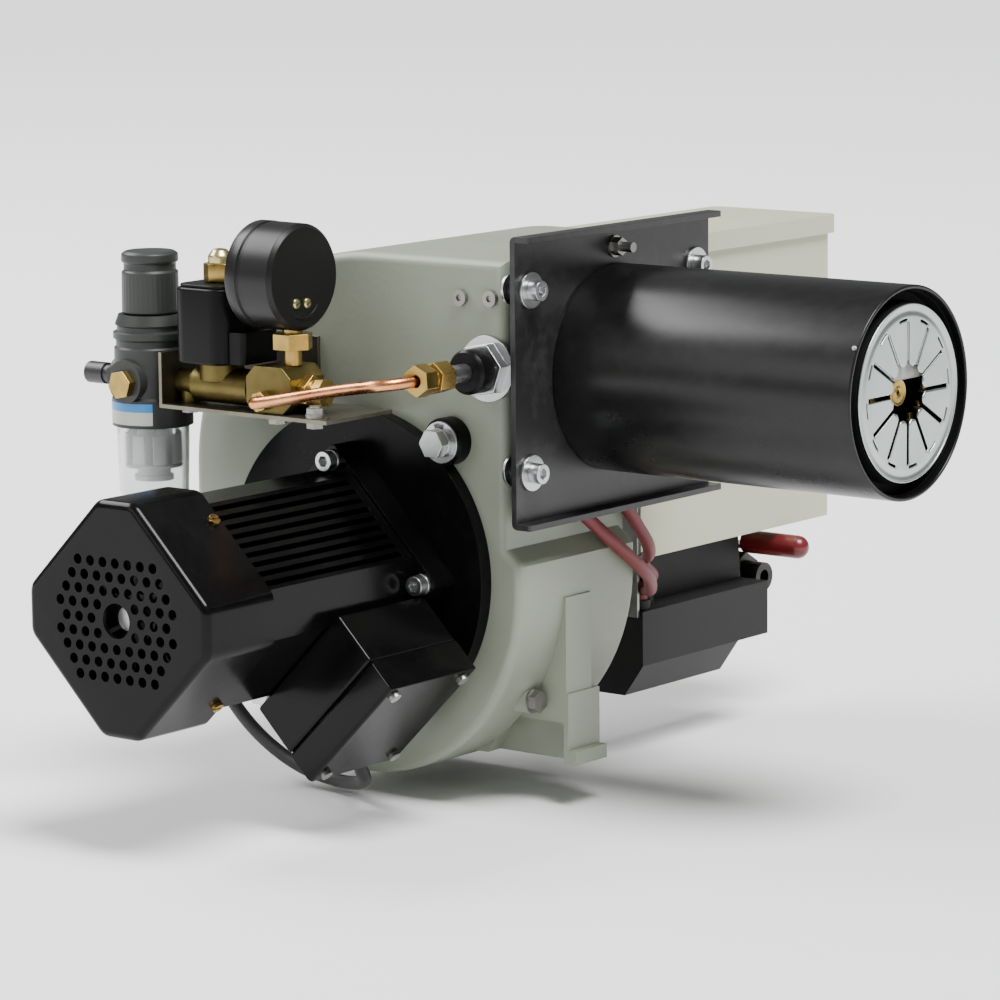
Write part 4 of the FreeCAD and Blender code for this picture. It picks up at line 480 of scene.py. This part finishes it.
RIM_SCREW = (173.2, -45.05, 26.4)
RIM_SCREW_WAY = Vector((0, -0.862, 0.507)).to_track_quat("Z", "Y").to_matrix()
screw_profile = [(0.05, 0.6), (0.9, 0.55), (1.25, 0.3), (1.3, -0.6), (0.05, -0.6)]
trim("rim_screw", put(lathe(screw_profile, 24), RIM_SCREW, RIM_SCREW_WAY), dull_zinc)
print("rim screw at", RIM_SCREW)

# %% [markdown]
# ## The diffuser
# This disc spins the air round the flame. It is pressed from bright zinc-plated sheet: twelve radial
# slots, each ending in a short slot along the rim, a scalloped hole for the nozzle and a rolled edge.
# Cutting slots with booleans is fragile, and leaving square cells out of a plain grid gives ragged
# slots. Here the grid's own columns follow the slots' edges, so leaving out whole cells cuts them clean.

# %% Sizes and angles of the diffuser
VANES, SLOT_HALF = 12, 1.25
HOLE_R, SLOT_END, CUT_START, CUT_END, FLAT_R, DISC_R = 14.2, 34.4, 35.0, 36.2, 36.6, 42.6
SCALLOP, SCALLOP_REACH, TROUGH = 0.9, 4.0, 0.6
ROLL_START, DISC_X = 36.8, TUBE_END - 1.2
SLOT_COLUMNS, SECTOR_COLUMNS, FLAT_ROWS, ROLL_ROWS = 4, 28, 16, 12
CUT_FIRST, CUT_STOP = SLOT_COLUMNS - 1, SLOT_COLUMNS + 12


def disc_angles(radii):
    """Angle = k * 30 degrees + the column's share; the first columns span the slot, whose half width
    in radians is asin(half / r), and the others divide what is left of the sector evenly."""
    half = np.arcsin(SLOT_HALF / radii)[None]
    step = 2 * math.pi / VANES
    inside = np.linspace(-1, 1, SLOT_COLUMNS + 1)[:, None] * half
    outside = half + np.linspace(0, 1, SECTOR_COLUMNS + 1)[1:-1, None] * (step - 2 * half)
    sector = np.concatenate([inside, outside])
    return np.concatenate([sector + k * step for k in range(VANES)])


def disc_height(r):
    """Flat as far as the slots, then a shallow rolled trough: z = -trough sin(pi s)^2, s across it."""
    s = np.clip((r - FLAT_R) / (DISC_R - FLAT_R), 0, 1)
    return -TROUGH * np.sin(math.pi * s) ** 2


print("one column of slot is", round(2 * SLOT_HALF / SLOT_COLUMNS, 2), "mm wide")

# %% Diffuser disc
def thicken(made, thickness):
    """Gives a sheet its wall in millimetres, half of it to each side."""
    wall = made.modifiers.new("sheet", "SOLIDIFY")
    wall.thickness = thickness * MM
    wall.offset = 0.0


radii = np.concatenate([np.linspace(HOLE_R, SLOT_END, FLAT_ROWS), [CUT_START, CUT_END],
                        np.linspace(ROLL_START, DISC_R, ROLL_ROWS)])
angles = disc_angles(radii)
scallop = SCALLOP * np.cos(VANES * angles) * np.clip(1 - (radii - HOLE_R) / SCALLOP_REACH, 0, 1)
reach = radii[None] + scallop
grid = np.stack([reach * np.cos(angles), reach * np.sin(angles), disc_height(reach)], -1)
sheet_points, sheet_faces = patch(grid, True, False)
column = np.arange(len(angles))[:, None] % (SLOT_COLUMNS + SECTOR_COLUMNS)
row = np.arange(len(radii) - 1)[None]
radial_slot = (column < SLOT_COLUMNS) & (row < FLAT_ROWS - 1)
rim_slot = (column >= CUT_FIRST) & (column < CUT_STOP) & (row == FLAT_ROWS)
keep = ~(radial_slot | rim_slot).reshape(-1)
disc_shell = (sheet_points, [face for face, stays in zip(sheet_faces, keep.tolist()) if stays])
disc = piece("diffuser_face", put(disc_shell, (DISC_X, 0, 0), "+X"), bright_zinc, "diffuser_disc", sharp=60)
thicken(disc, 1.0)
print("disc faces kept:", len(disc_shell[1]))

# %% [markdown]
# ## The vanes and the deep rim
# The metal pushed out of each slot stays on as a vane, bent back along one side of it, and it is what
# sets the air spinning. A vane is a ruled strip: one edge follows the slot, the other stands away from
# it. The light comes from above, so the upper slots show a lit vane and the lower ones look black.
# The disc's rim turns back into a deep channel that centres it in the tube, dark with soot.

# %% Vanes
def vane_strip(length=4.8, slant=84.0, first_r=15.6, bend_over=1.4):
    """Point(r, t) = slot edge at radius r, moved t mm along the slant: inwards and across the slot."""
    slant = math.radians(slant)
    r, t = np.meshgrid(np.linspace(first_r, SLOT_END, 20), np.linspace(0.0, length, 6), indexing="ij")
    bend = np.clip(t / bend_over, 0, 1)
    across = -SLOT_HALF + t * math.cos(slant) * bend
    return patch(np.stack([r, across, -t * math.sin(slant) * (0.4 + 0.6 * bend)], -1))


VANE_X = DISC_X - 0.3
strips = [put(vane_strip(), (VANE_X, 0, 0), "+X", 360 / VANES * k) for k in range(VANES)]
vanes = trim("diffuser_vanes", strips, bright_zinc, sharp=60)
thicken(vanes, 0.8)
print("vane faces:", len(vanes.data.polygons))

# %% Rolled lip and channel
LIP_R, LIP_X = 0.5, DISC_X + 0.3
CHANNEL_BACK, CHANNEL_FLOOR, CHANNEL_FRONT, CHANNEL_R = 162.8, 164.4, 171.0, 49.9
lip_profile = [(DISC_R + LIP_R * math.cos(t), LIP_X + LIP_R * math.sin(t))
               for t in np.radians(np.arange(0, 360, 36))]
trim("diffuser_lip", put(lathe(lip_profile, 160, closed=True), way="+X"), bright_zinc, sharp=60)
channel = fillet([(DISC_R - 0.6, DISC_X - 0.6), (DISC_R + 0.4, DISC_X - 0.8),
                  (43.8, CHANNEL_FLOOR + 0.6, 1.0), (49.0, CHANNEL_FLOOR, 1.0), (49.3, CHANNEL_FRONT, 0.2),
                  (CHANNEL_R, CHANNEL_FRONT, 0.2), (CHANNEL_R, CHANNEL_BACK), (DISC_R, CHANNEL_BACK)],
                 0.15, 4)
trim("diffuser_rim", put(lathe(channel, 160, closed=True), way="+X"), soot_black)
print("channel is", round(DISC_X - CHANNEL_FLOOR, 1), "mm deep")

# %% [markdown]
# ## Inside the disc's hole
# Through the hole show the brass nozzle with its small orifice, three brass lugs of its holder, and
# the pale shield behind the electrodes. They are turned or extruded shells, set just behind the disc.

# %% Inside the hole
NOZZLE_X, SHIELD_X, LUG_X = 167.2, 168.3, 167.6
LUGS = ((21.5, 0.6), (17.5, -7.0), (10.0, -12.6))
UPRIGHT_ON_X = Matrix(((0, 0, 1), (0, 1, 0), (1, 0, 0)))
nozzle_profile = fillet([(1.1, NOZZLE_X), (1.1, 168.5), (2.4, 168.9, 0.3), (3.0, 168.3, 0.2),
                         (5.2, 168.4, 0.2), (6.3, 168.9, 0.4), (6.9, 168.2, 0.4), (6.9, NOZZLE_X)], 0.1, 3)
trim("nozzle_face", put(lathe(nozzle_profile, 72, closed=True), way="+X"), brass)
shield = slab(square(6.0, -9.5, 16.5, 19.5, 4.0), 0, 2.9, 1.3, 4)
trim("ignition_shield", put(shield, (SHIELD_X, 0, 0), UPRIGHT_ON_X), ceramic)
lug = slab(square(-1.6, -1.4, 1.6, 1.4, 0.6), 0, 2.0, 0.5, 2)
trim("nozzle_lugs", [put(lug, (LUG_X, y, z), "+X") for y, z in LUGS], brass)
print("lugs round the nozzle:", len(LUGS))

# %% [markdown]
# ## Dressing solids that already have their shape
# Many solids are right as they are but their edges are razor sharp, which no real edge is. A copy of
# the solid is merged, its flat triangles are joined, and a small bevel catches the light along each
# edge. That keeps the exact form and costs one line for each piece. The blast head's own parts, most
# of them hidden in the tube, are the first.

# %% Dressed copies
WELD_BELOW, FLAT_BELOW = 1e-5, 1.0  # metres, degrees


def dressed(node, finish, bevel, bevel_angle=BEVEL_ABOVE):
    """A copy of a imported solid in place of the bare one: points nearer than a weld are merged, faces
    that meet flatter than an angle are joined, and its edges get a bevel in millimetres."""
    mesh = frame["nodes"][node].data.copy()
    mesh.materials.clear()
    work = bmesh.new()
    work.from_mesh(mesh)
    bmesh.ops.remove_doubles(work, verts=work.verts, dist=WELD_BELOW)
    bmesh.ops.dissolve_limit(work, angle_limit=math.radians(FLAT_BELOW), verts=work.verts, edges=work.edges)
    work.to_mesh(mesh)
    work.free()
    for name in [layer.name for layer in mesh.attributes if layer.name == "custom_normal"]:
        mesh.attributes.remove(mesh.attributes[name])
    return finish_piece(node + "_dressed", mesh, finish, node, bevel=bevel, bevel_angle=bevel_angle)


def dress_all(*rows):
    """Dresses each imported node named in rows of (node, finish, bevel width in millimetres)."""
    for node, finish, edge in rows:
        dressed(node, finish, edge)


dress_all(("nozzle", brass, 0.35), ("nozzle_holder", brass, 0.3), ("electrode_insulators", ceramic, 0.4),
          ("electrode_pins", steel, 0.0))
print("blast head done")

# %% [markdown]
# ## Flange and screws
# The flange is bent from black sheet with a lip above and below. Its screws and washers are zinc
# plated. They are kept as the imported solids, with a fine bevel so their rims shine.

# %% Flange
dress_all(("flange_plate", flange_black, 0.45), ("flange_spacers", flange_black, 0.3),
          ("flange_screws", zinc, 0.3))
print("flange dressed")

# %% [markdown]
# ## The housing
# The two halves of the scroll and the duct cover are sand-cast and painted grey. A cast edge is never
# sharp, so the bevel here is wide. The joint between the halves stays visible as a thin dark line,
# because the two bevels meet there.

# %% Housing
for name in ("housing_motor_side", "housing_inlet_side", "duct_side_cover"):
    dressed(name, casting_grey, 0.7, bevel_angle=40)
dress_all(("housing_screws", dull_zinc, 0.25), ("air_shutter", zinc, 0.3))
print("housing dressed")

# %% [markdown]
# ## The motor
# Plate, finned body, fan cover and terminal box are enamelled gloss black. The enamel pools a little
# at the edges, which a rounded bevel suggests. The bolts are bright and the cover's screws are brass.
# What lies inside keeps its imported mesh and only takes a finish.

# %% Motor
def painted(node, finish):
    """A hidden or plain node keeps its mesh and only takes a finish."""
    slots = frame["nodes"][node].data.materials
    slots.clear()
    slots.append(finish.material)


dress_all(("motor_plate", plate_black, 0.6), ("motor_body", motor_black, 0.4),
          ("fan_cover", motor_black, 0.35), ("terminal_box", motor_black, 1.8),
          ("terminal_lid", motor_black, 2.4), ("motor_bolts", zinc, 0.3), ("cover_screws", brass, 0.25))
for name, finish in (("motor_shaft", steel), ("impeller", aluminium), ("rotor_core", lamination),
                     ("stator_core", lamination), ("cooling_fan", black_plastic), ("motor_bearings", steel),
                     ("end_bell", motor_black), ("capacitor", white_plastic),
                     ("filter_element", white_plastic), ("plunger", steel)):
    painted(name, finish)
print("motor dressed")

# %% [markdown]
# ## The row of air fittings
# Filter-regulator, solenoid valve, brass block and gauge hang on one zinc bracket in front of the
# scroll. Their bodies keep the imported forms. A bare sticker in two colours goes round the regulator, as
# two thin bands that follow its cylinder, and a black rubber boot covers the nut of the wall fitting.

# %% Fittings
REG = (-205.0, -118.0)
dress_all(("regulator_body", grey_plastic, 0.5), ("air_elbow", black_plastic, 0.4),
          ("drain_knob", black_plastic, 0.4), ("brass_fittings", brass, 0.35),
          ("valve_bracket", sheet_zinc, 0.3), ("solenoid_valve_body", dull_brass, 0.3),
          ("manifold_block", dull_brass, 0.5), ("gauge_stem", brass, 0.3), ("bulkhead_fitting", zinc, 0.3),
          ("coil_plug", coil_black, 0.7))
print("fittings dressed")

# %% Sticker
STICKER_IN, STICKER_OUT, STICKER_START, STICKER_SWEEP = 20.62, 20.78, -152, 104
for name, low, high, finish in (("blue", -23.2, -18.9, label_blue), ("white", -29.9, -23.2, label_white)):
    band = [(STICKER_IN, low), (STICKER_OUT, low), (STICKER_OUT, high), (STICKER_IN, high)]
    strip = lathe(band, 40, closed=True, sweep=STICKER_SWEEP, start=STICKER_START)
    trim("regulator_label_" + name, put(strip, (*REG, 0)), finish)
print("sticker spans", STICKER_SWEEP, "degrees")

# %% Rubber boot
WALL_FITTING = (-22, -74, 5.4)
boot_profile = fillet([(4.55, 8.4), (11.15, 8.4), (11.15, 17.3, 0.8), (9.8, 18.9, 0.8), (4.55, 18.9)],
                      0.3, 5)
trim("bulkhead_boot", put(lathe(boot_profile, 72, closed=True), WALL_FITTING, "-Y"), coil_black)
print("boot on the wall fitting")

# %% [markdown]
# ## The regulator's knob
# The knob is grey moulded plastic, turned round an upright axis. A lathe would give its plain form, but
# its side has shallow flutes for the fingers, so here the radius follows the angle as well as the height.

# %% Regulator knob
def fluted_knob(flutes=36, depth=0.09, spacing=1.5):
    """Radius = profile - depth (0.5 + 0.5 cos(flutes a)) on the main tier of the side wall only."""
    profile = fillet([(0.1, 57.2), (12.4, 57.0, 2.0), (14.4, 55.6, 1.2), (14.5, 51.8, 0.9),
                      (13.3, 50.8, 0.9), (13.3, 47.4, 0.9), (14.4, 46.4, 0.9), (14.6, 26.2, 0.9),
                      (13.8, 25.4), (4.8, 25.4)], 0.5, 6, closed=False)
    dense = [profile[0]]
    for start, end in zip(profile[:-1], profile[1:]):
        n = max(1, int(np.linalg.norm(end - start) / spacing))
        dense.extend(start + (end - start) * k / n for k in range(1, n + 1))
    dense = np.array(dense)
    a = np.radians(np.linspace(0, 360, flutes * 8, endpoint=False))[:, None]
    r, h = dense[:, 0][None], dense[:, 1][None]
    between = np.clip((h - 27.5) / 1.5, 0, 1) * np.clip((45.6 - h) / 1.5, 0, 1)
    on_side = between * np.clip((r - 14.0) / 0.4, 0, 1)
    r = r - depth * on_side * (0.5 + 0.5 * np.cos(flutes * a))
    return patch(np.stack([r * np.cos(a), r * np.sin(a), h + 0 * a], -1), True, False)


knob = piece("knob_skin", put(fluted_knob(), (*REG, 0.0)), grey_plastic, "regulator_knob", sharp=40)
print("knob faces:", len(knob.data.polygons))

# %% [markdown]
# ## The clear bowl
# The bowl is a blown shell with a real wall, so light bends twice in it as in the real one. Milky
# plastic hides the filter and shows only the white cage round it: eight ribs and a baffle disc.

# %% Bowl
bowl_profile = fillet([(0.1, -75.5), (8.0, -75.5, 2.0), (14.0, -72.6, 4.0), (17.6, -65.5, 5.0),
                       (18.35, -40.0, 0.5), (18.4, -31.9, 0.4), (16.7, -31.9), (15.9, -64.8, 4.0),
                       (12.8, -70.6, 3.0), (7.6, -73.6), (0.1, -73.6)], 0.3, 8, closed=False)
bowl = piece("bowl_skin", put(lathe(bowl_profile, 144), (*REG, 0.0)), clear_plastic, "regulator_bowl")
print("bowl faces:", len(bowl.data.polygons))

# %% Cage in the bowl
RIBS, RIB_TURN, RIB_LOW, RIB_HIGH = 8, 10, -51.0, -36.0
rib = slab(square(12.2, -3.4, 14.4, 3.4, 0.6), RIB_LOW, RIB_HIGH, 0.5, 2)
ribs = [put(rib, (*REG, 0), spin=360 / RIBS * k + RIB_TURN) for k in range(RIBS)]
baffle = lathe(fillet([(9.0, -53.0), (14.6, -53.0), (14.6, -51.4), (9.0, -51.4)], 0.4, 3), 64, closed=True)
trim("bowl_cage", ribs + [put(baffle, (*REG, 0))], white_plastic)
print("cage ribs:", len(ribs))

# %% [markdown]
# ## The solenoid coil
# The coil is wound and then moulded into a block with generously rounded upright corners. A rounded
# outline, drawn in at both rims, gives it; a shallow step under the nut shows where the yoke ends. The
# nut is a plain hexagon with a yellow dome on top.

# %% Solenoid coil
COIL_LOW, COIL_SHOULDER, COIL_TOP = 4.1, 42.3, 43.9
coil_outline = square(-174.5, -137.0, -140.5, -99.0, 8.8, 12)
coil = piece("coil_skin", [slab(coil_outline, COIL_LOW, COIL_SHOULDER, 1.5, 5),
                           slab(inset(coil_outline, 1.6), COIL_SHOULDER, COIL_TOP, 0.7, 4)],
             coil_black, "solenoid_coil")
print("coil faces:", len(coil.data.polygons))

# %% Coil nut
def hexagon(across, corner):
    """Six round corners 60 degrees apart, at across / sqrt(3) from the middle."""
    a = np.radians(60 * np.arange(6))
    return fillet(list(np.stack([np.cos(a), np.sin(a)], 1) * across / math.sqrt(3)), corner, 3)


NUT_AXIS, NUT_ACROSS, NUT_LOW, NUT_HIGH = (-157.5, -118.0), 15, 44.1, 53.6
nut_shell = put(slab(hexagon(NUT_ACROSS, 0.7), NUT_LOW, NUT_HIGH, 0.8), (*NUT_AXIS, 0), spin=30)
nut = piece("coil_nut_hex", nut_shell, brass, "coil_nut")
dome_profile = fillet([(0.05, 61.0), (3.6, 60.4, 2.5), (6.0, 57.2, 2.0), (6.0, 53.3), (0.05, 53.3)], 0.3, 6,
                      closed=False)
trim("coil_nut_dome", put(lathe(dome_profile, 48), (*NUT_AXIS, 0.0)), yellow_zinc)
print("nut faces:", len(nut.data.polygons))

# %% [markdown]
# ## The back of the pressure gauge
# The gauge faces away, so its back shows: a deep-drawn black case with a groove where the bezel is
# crimped on, two small brass screws whose slots are black bars of painted shade, and a crescent ridge
# under them. The ridge is a tube whose thickness swells from nothing to its middle and back, carried along
# an arc.

# %% Gauge back
GAUGE = (-118.0, 49.5)
BACK_X, BACK_SCREWS, SCREW_TURN = -102.4, ((-124.3, 37.0), (-116.1, 36.6)), 25
dressed("gauge_case", gauge_black, 0.7)
painted("gauge_lens", lens_clear)
painted("gauge_needle", red_dip)
head = lathe(fillet([(0.05, 1.2), (1.7, 1.1, 0.6), (2.55, 0.5, 0.4), (2.6, -0.2), (0.05, -0.2)], 0.1, 4,
                    closed=False), 32)
# The screws' slots are thin black bars laid on the heads: painted shade in place of cut grooves.
slot_shade_bar = slab(square(-0.3, -1.8, 0.3, 1.8, 0.1), 0.6, 1.22, 0.05, 2)
trim("gauge_back_screws", [put(head, (BACK_X, y, z), "+X") for y, z in BACK_SCREWS], yellow_zinc)
trim("gauge_screw_slot_shade", [put(slot_shade_bar, (BACK_X, y, z), "+X", SCREW_TURN) for y, z in BACK_SCREWS],
     ink_and_slot_shade)
print("screws on the back:", len(BACK_SCREWS))

# %% Crescent ridge
def crescent_ridge(centre=(-102.5, -118.7, 41.7), radius=12.5, first=-134, last=-30, swell=0.85, steps=32):
    """Arc point at angle t, plus a small circle of radius swell sin(pi s)^0.4, s along the arc."""
    x, y, z = centre
    t = np.radians(np.linspace(first, last, steps))[:, None]
    turn = np.radians(np.arange(0, 360, 45))[None]
    thick = swell * np.sin(math.pi * np.linspace(0.04, 0.96, steps))[:, None] ** 0.4
    r = radius + thick * np.cos(turn)
    rings = np.stack([x + thick * np.sin(turn) * 0.9 + 0 * t, y + r * np.cos(t), z + r * np.sin(t)], -1)
    points, faces = patch(rings, False, True)
    around = turn.size
    return points, faces + [list(range(around)), list(range(len(points) - around, len(points)))]


trim("gauge_crescent", crescent_ridge(), gauge_black)
print("gauge back done")

# %% [markdown]
# ## The dial
# The dial looks the other way, with fifty-one strokes over 270 degrees and plain figures from the
# outline font. Strokes and figures are real thin shells, not a picture, so they stay sharp up close.

# %% Figures
def numeral(text, size):
    """The outline font's own figures as a thin flat shell round its middle, in millimetres."""
    curve = bpy.data.curves.new("numeral", "FONT")
    curve.body, curve.size, curve.extrude = text, size, 0.04
    curve.align_x = curve.align_y = "CENTER"
    holder = bpy.data.objects.new("numeral", curve)
    mesh = bpy.data.meshes.new_from_object(holder)
    points = np.empty(len(mesh.vertices) * 3)
    mesh.vertices.foreach_get("co", points)
    faces = [list(polygon.vertices) for polygon in mesh.polygons]
    for block, data in ((bpy.data.objects, holder), (bpy.data.curves, curve), (bpy.data.meshes, mesh)):
        block.remove(data)
    return points.reshape(-1, 3), faces


print("figure 5 has", len(numeral("5", 4.2)[1]), "faces")

# %% Dial
STROKES, DIAL_SWEEP, STROKE_END, FIGURE_R, FIGURE_SIZE = 51, 270.0, 20.6, 13.6, 4.2
LONG_STROKE, SHORT_STROKE = (17.2, 0.28), (18.6, 0.13)
FACE_X, STROKE_X, FIGURE_X = -126.7, -126.85, -126.9
UPRIGHT_FACING_BACK = Matrix(((0, 0, -1), (-1, 0, 0), (0, 1, 0)))
strokes, figures = [], []
for k in range(STROKES):
    along = DIAL_SWEEP / (STROKES - 1) * k
    first_r, half = SHORT_STROKE if k % 10 else LONG_STROKE
    bar = [(first_r, -half), (STROKE_END, -half), (STROKE_END, half), (first_r, half)]
    strokes.append(put(stack(bar, [(0, 0), (0, 0.08)]), (STROKE_X, *GAUGE), "-X", 135 - along))
    if k % 10 == 0:
        turn = math.radians(225 - along)
        place = (FIGURE_X, GAUGE[0] - FIGURE_R * math.cos(turn), GAUGE[1] + FIGURE_R * math.sin(turn))
        figures.append(put(numeral(str(k // 5), FIGURE_SIZE), place, UPRIGHT_FACING_BACK))
marks = trim("dial_marks", strokes + figures, ink_and_slot_shade)
face_profile = [(1.2, -0.3), (21.7, -0.3), (21.7, 0.2), (1.2, 0.2)]
trim("dial_face", put(lathe(face_profile, 96, closed=True), (FACE_X, *GAUGE), "-X"), dial_white)
print("dial faces:", len(marks.data.polygons))

# %% [markdown]
# ## Pipes and leads
# The copper pipe, the two red ignition leads and the motor lead follow smooth bends. A NURBS curve
# with round section takes the route's corners and smooths them; it stays editable, and it costs far
# less than a mesh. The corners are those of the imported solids.

# %% Curved tubes
def smooth_route(name, corners, radius, finish, node, stands_in=True):
    """A NURBS curve of order 3 through the route's end points, guided by its corners."""
    data = bpy.data.curves.new(name, "CURVE")
    data.dimensions = "3D"
    data.bevel_depth = radius * MM
    data.bevel_resolution = 8
    data.resolution_u = 14
    data.use_fill_caps = True
    line = data.splines.new("NURBS")
    line.points.add(len(corners) - 1)
    weighted = np.column_stack([np.array(corners, float) * MM, np.ones(len(corners))])
    line.points.foreach_set("co", weighted.ravel())
    line.order_u = 3
    line.use_endpoint_u = True
    made = bpy.data.objects.new(name, data)
    bpy.context.scene.collection.objects.link(made)
    data.materials.append(finish.material)
    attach(made, node_body[node])
    if stands_in:
        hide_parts(node)


print("route maker ready")

# %% Routes
COPPER_PIPE = [(-22, -108.1, 5.4), (-22, -145, 5.4), (-56, -145, 0.5), (-104, -145, -9.5),
               (-118, -144, -11.5), (-118, -131.1, -11.5)]
FUEL_PIPE = [(-98, 212, -144), (-127, 212, -144), (-127, 56, -114), (-127, 56, -20), (-30, 30, -20),
             (-30, 22, -0.6), (-30, 11, -0.6)]
MOTOR_LEAD = [(-71.2, -112, -185.1), (-78.2, -112, -192.1), (-84, -96, -207), (-118, -79, -214),
              (-151, -79, -208), (-184, -79, -188), (-207, -79, -157), (-214, -79, -127),
              (-209, -79, -112), (-192, -79, -104), (-192, -64, -104)]
LEAD_ONE = [(-17, -34, -62), (-7.6, -34, -62), (-7.6, -16, -74), (1.6, -2, -90), (1.6, 26, -109),
            (-16, 52, -121), (-36.5, 79, -130), (-49, 88, -129.5), (-49, 88, -137)]
LEAD_TWO = [(-17, 8, -62), (-7.6, 8, -62), (-7.6, 26, -82), (-10, 46, -102), (-33, 64, -112),
            (-38, 86, -123), (-55, 99, -128), (-55, 99, -137)]
PIPE_R, MOTOR_LEAD_R, IGNITION_LEAD_R = 3.0, 3.5, 3.4
smooth_route("copper_pipe_line", COPPER_PIPE, PIPE_R, copper, "copper_pipe")
smooth_route("fuel_pipe_line", FUEL_PIPE, PIPE_R, copper, "fuel_pipe")
smooth_route("motor_lead_line", MOTOR_LEAD, MOTOR_LEAD_R, black_sheath, "motor_lead")
smooth_route("ignition_lead_one", LEAD_ONE, IGNITION_LEAD_R, red_silicone, "ignition_leads")
smooth_route("ignition_lead_two", LEAD_TWO, IGNITION_LEAD_R, red_silicone, "ignition_leads", stands_in=False)
print("pipes and leads done")

# %% [markdown]
# ## Control box, transformer and lever
# The control box is a moulded base with a lid whose lip overlaps it. Below it hangs the dark
# ignition transformer. The lever's grip is dipped in red plastic, thick and glossy.

# %% Control side
dress_all(("mounting_plates", dull_zinc, 0.4), ("control_box", box_cream, 1.2),
          ("control_lid", box_cream, 1.4), ("transformer", case_black, 0.9), ("reset_button", red_dip, 0.4),
          ("lever_grip", red_dip, 0.8), ("fuel_lever", zinc, 0.3), ("fuel_valve_body", phosphate, 0.4))
print("control side done")

# %% [markdown]
# ## Studio
# A wide sun from the right and above stands for the big soft box of the photograph: it lights the disc,
# the box's end and every top face. A long soft box from behind on the left lays the sheen along the
# tube, and a weak one in front keeps the motor readable. The sky is dim, so black enamel stays black;
# only the camera's own rays see it as bright as the floor, which hides the horizon in low views.

# %% Lights
def area_light(name, where, aim, size, power):
    """A rectangular soft box that looks at a point; places in metres, power in watts."""
    data = bpy.data.lights.new(name, "AREA")
    data.shape = "RECTANGLE"
    data.size, data.size_y = size
    data.energy = power
    lamp = bpy.data.objects.new(name, data)
    lamp.location = where
    lamp.rotation_euler = (Vector(aim) - Vector(where)).to_track_quat("-Z", "Y").to_euler()
    bpy.context.scene.collection.objects.link(lamp)


SUN_POWER, SUN_WIDTH, SUN_FROM = 6.2, 28, (0.42, -0.10, 0.90)
sun_data = bpy.data.lights.new("soft_sun", "SUN")
sun_data.energy = SUN_POWER
sun_data.angle = math.radians(SUN_WIDTH)
sun = bpy.data.objects.new("soft_sun", sun_data)
sun.rotation_euler = Vector(SUN_FROM).to_track_quat("Z", "Y").to_euler()
bpy.context.scene.collection.objects.link(sun)
area_light("back_softbox", (-3.2, -0.7, 3.1), (0.05, 0, 0), (3.4, 1.5), 230)
area_light("front_softbox", (-0.9, -2.2, 0.9), (-0.1, -0.1, -0.05), (1.3, 0.9), 10)
print("lights:", len(bpy.data.lights))

# %% Floor
FLOOR_REACH, FLOOR_Z = 40, -0.2195
floor_finish = Finish("pale_floor", Base_Color=(0.86, 0.86, 0.86), Roughness=0.8, Specular_IOR_Level=0.1)
corners = [(x * FLOOR_REACH, y * FLOOR_REACH, FLOOR_Z) for x, y in ((-1, -1), (1, -1), (1, 1), (-1, 1))]
mesh = bpy.data.meshes.new("studio_floor")
mesh.from_pydata(corners, [], [(0, 1, 2, 3)])
mesh.materials.append(floor_finish.material)
floor = bpy.data.objects.new("studio_floor", mesh)
bpy.context.scene.collection.objects.link(floor)

# %% Sky
SKY_LIGHT, SKY_SEEN = 0.28, 1.8
world = bpy.data.worlds.new("pale_studio")
world.use_nodes = True
background = world.node_tree.nodes["Background"]
background.inputs["Color"].default_value = (0.97, 0.98, 1.0, 1.0)
ray = world.node_tree.nodes.new("ShaderNodeLightPath")
glow = world.node_tree.nodes.new("ShaderNodeMapRange")
glow.inputs["To Min"].default_value = SKY_LIGHT
glow.inputs["To Max"].default_value = SKY_SEEN
world.node_tree.links.new(ray.outputs["Is Camera Ray"], glow.inputs["Value"])
world.node_tree.links.new(glow.outputs["Result"], background.inputs["Strength"])
bpy.context.scene.world = world
print("sky strength:", SKY_LIGHT, "for light,", SKY_SEEN, "when seen")

# %% [markdown]
# ## Camera
# The camera stands where the photographer stood, worked out from the flange's corners and the mouth's
# ellipse: 38 degrees round from the front, 9 degrees up, with a long lens so that the perspective is
# weak. Its three axes are built from those angles, and then the small roll turns two of them.

# %% Camera
AZIMUTH, HEIGHT, ROLL = (math.radians(degrees) for degrees in (38.12, 9.23, -0.53))
CAMERA_AT, LENS, SENSOR = (1.33273, -1.79249, 0.29569), 162.0, 36.0
forward = Vector((-math.sin(AZIMUTH) * math.cos(HEIGHT), math.cos(AZIMUTH) * math.cos(HEIGHT),
                  -math.sin(HEIGHT)))
right = forward.cross(Vector((0, 0, 1))).normalized()
up = right.cross(forward)
side = right * math.cos(ROLL) + up * math.sin(ROLL)
above = up * math.cos(ROLL) - right * math.sin(ROLL)
lens = bpy.data.cameras.new("photo_camera")
lens.lens = LENS
lens.sensor_width = SENSOR
camera = bpy.data.objects.new("photo_camera", lens)
axes = Matrix((side, above, -forward)).transposed()
camera.matrix_world = Matrix.Translation(CAMERA_AT) @ axes.to_4x4()
bpy.context.scene.collection.objects.link(camera)
bpy.context.scene.camera = camera
print("camera at", [round(c, 3) for c in camera.location])
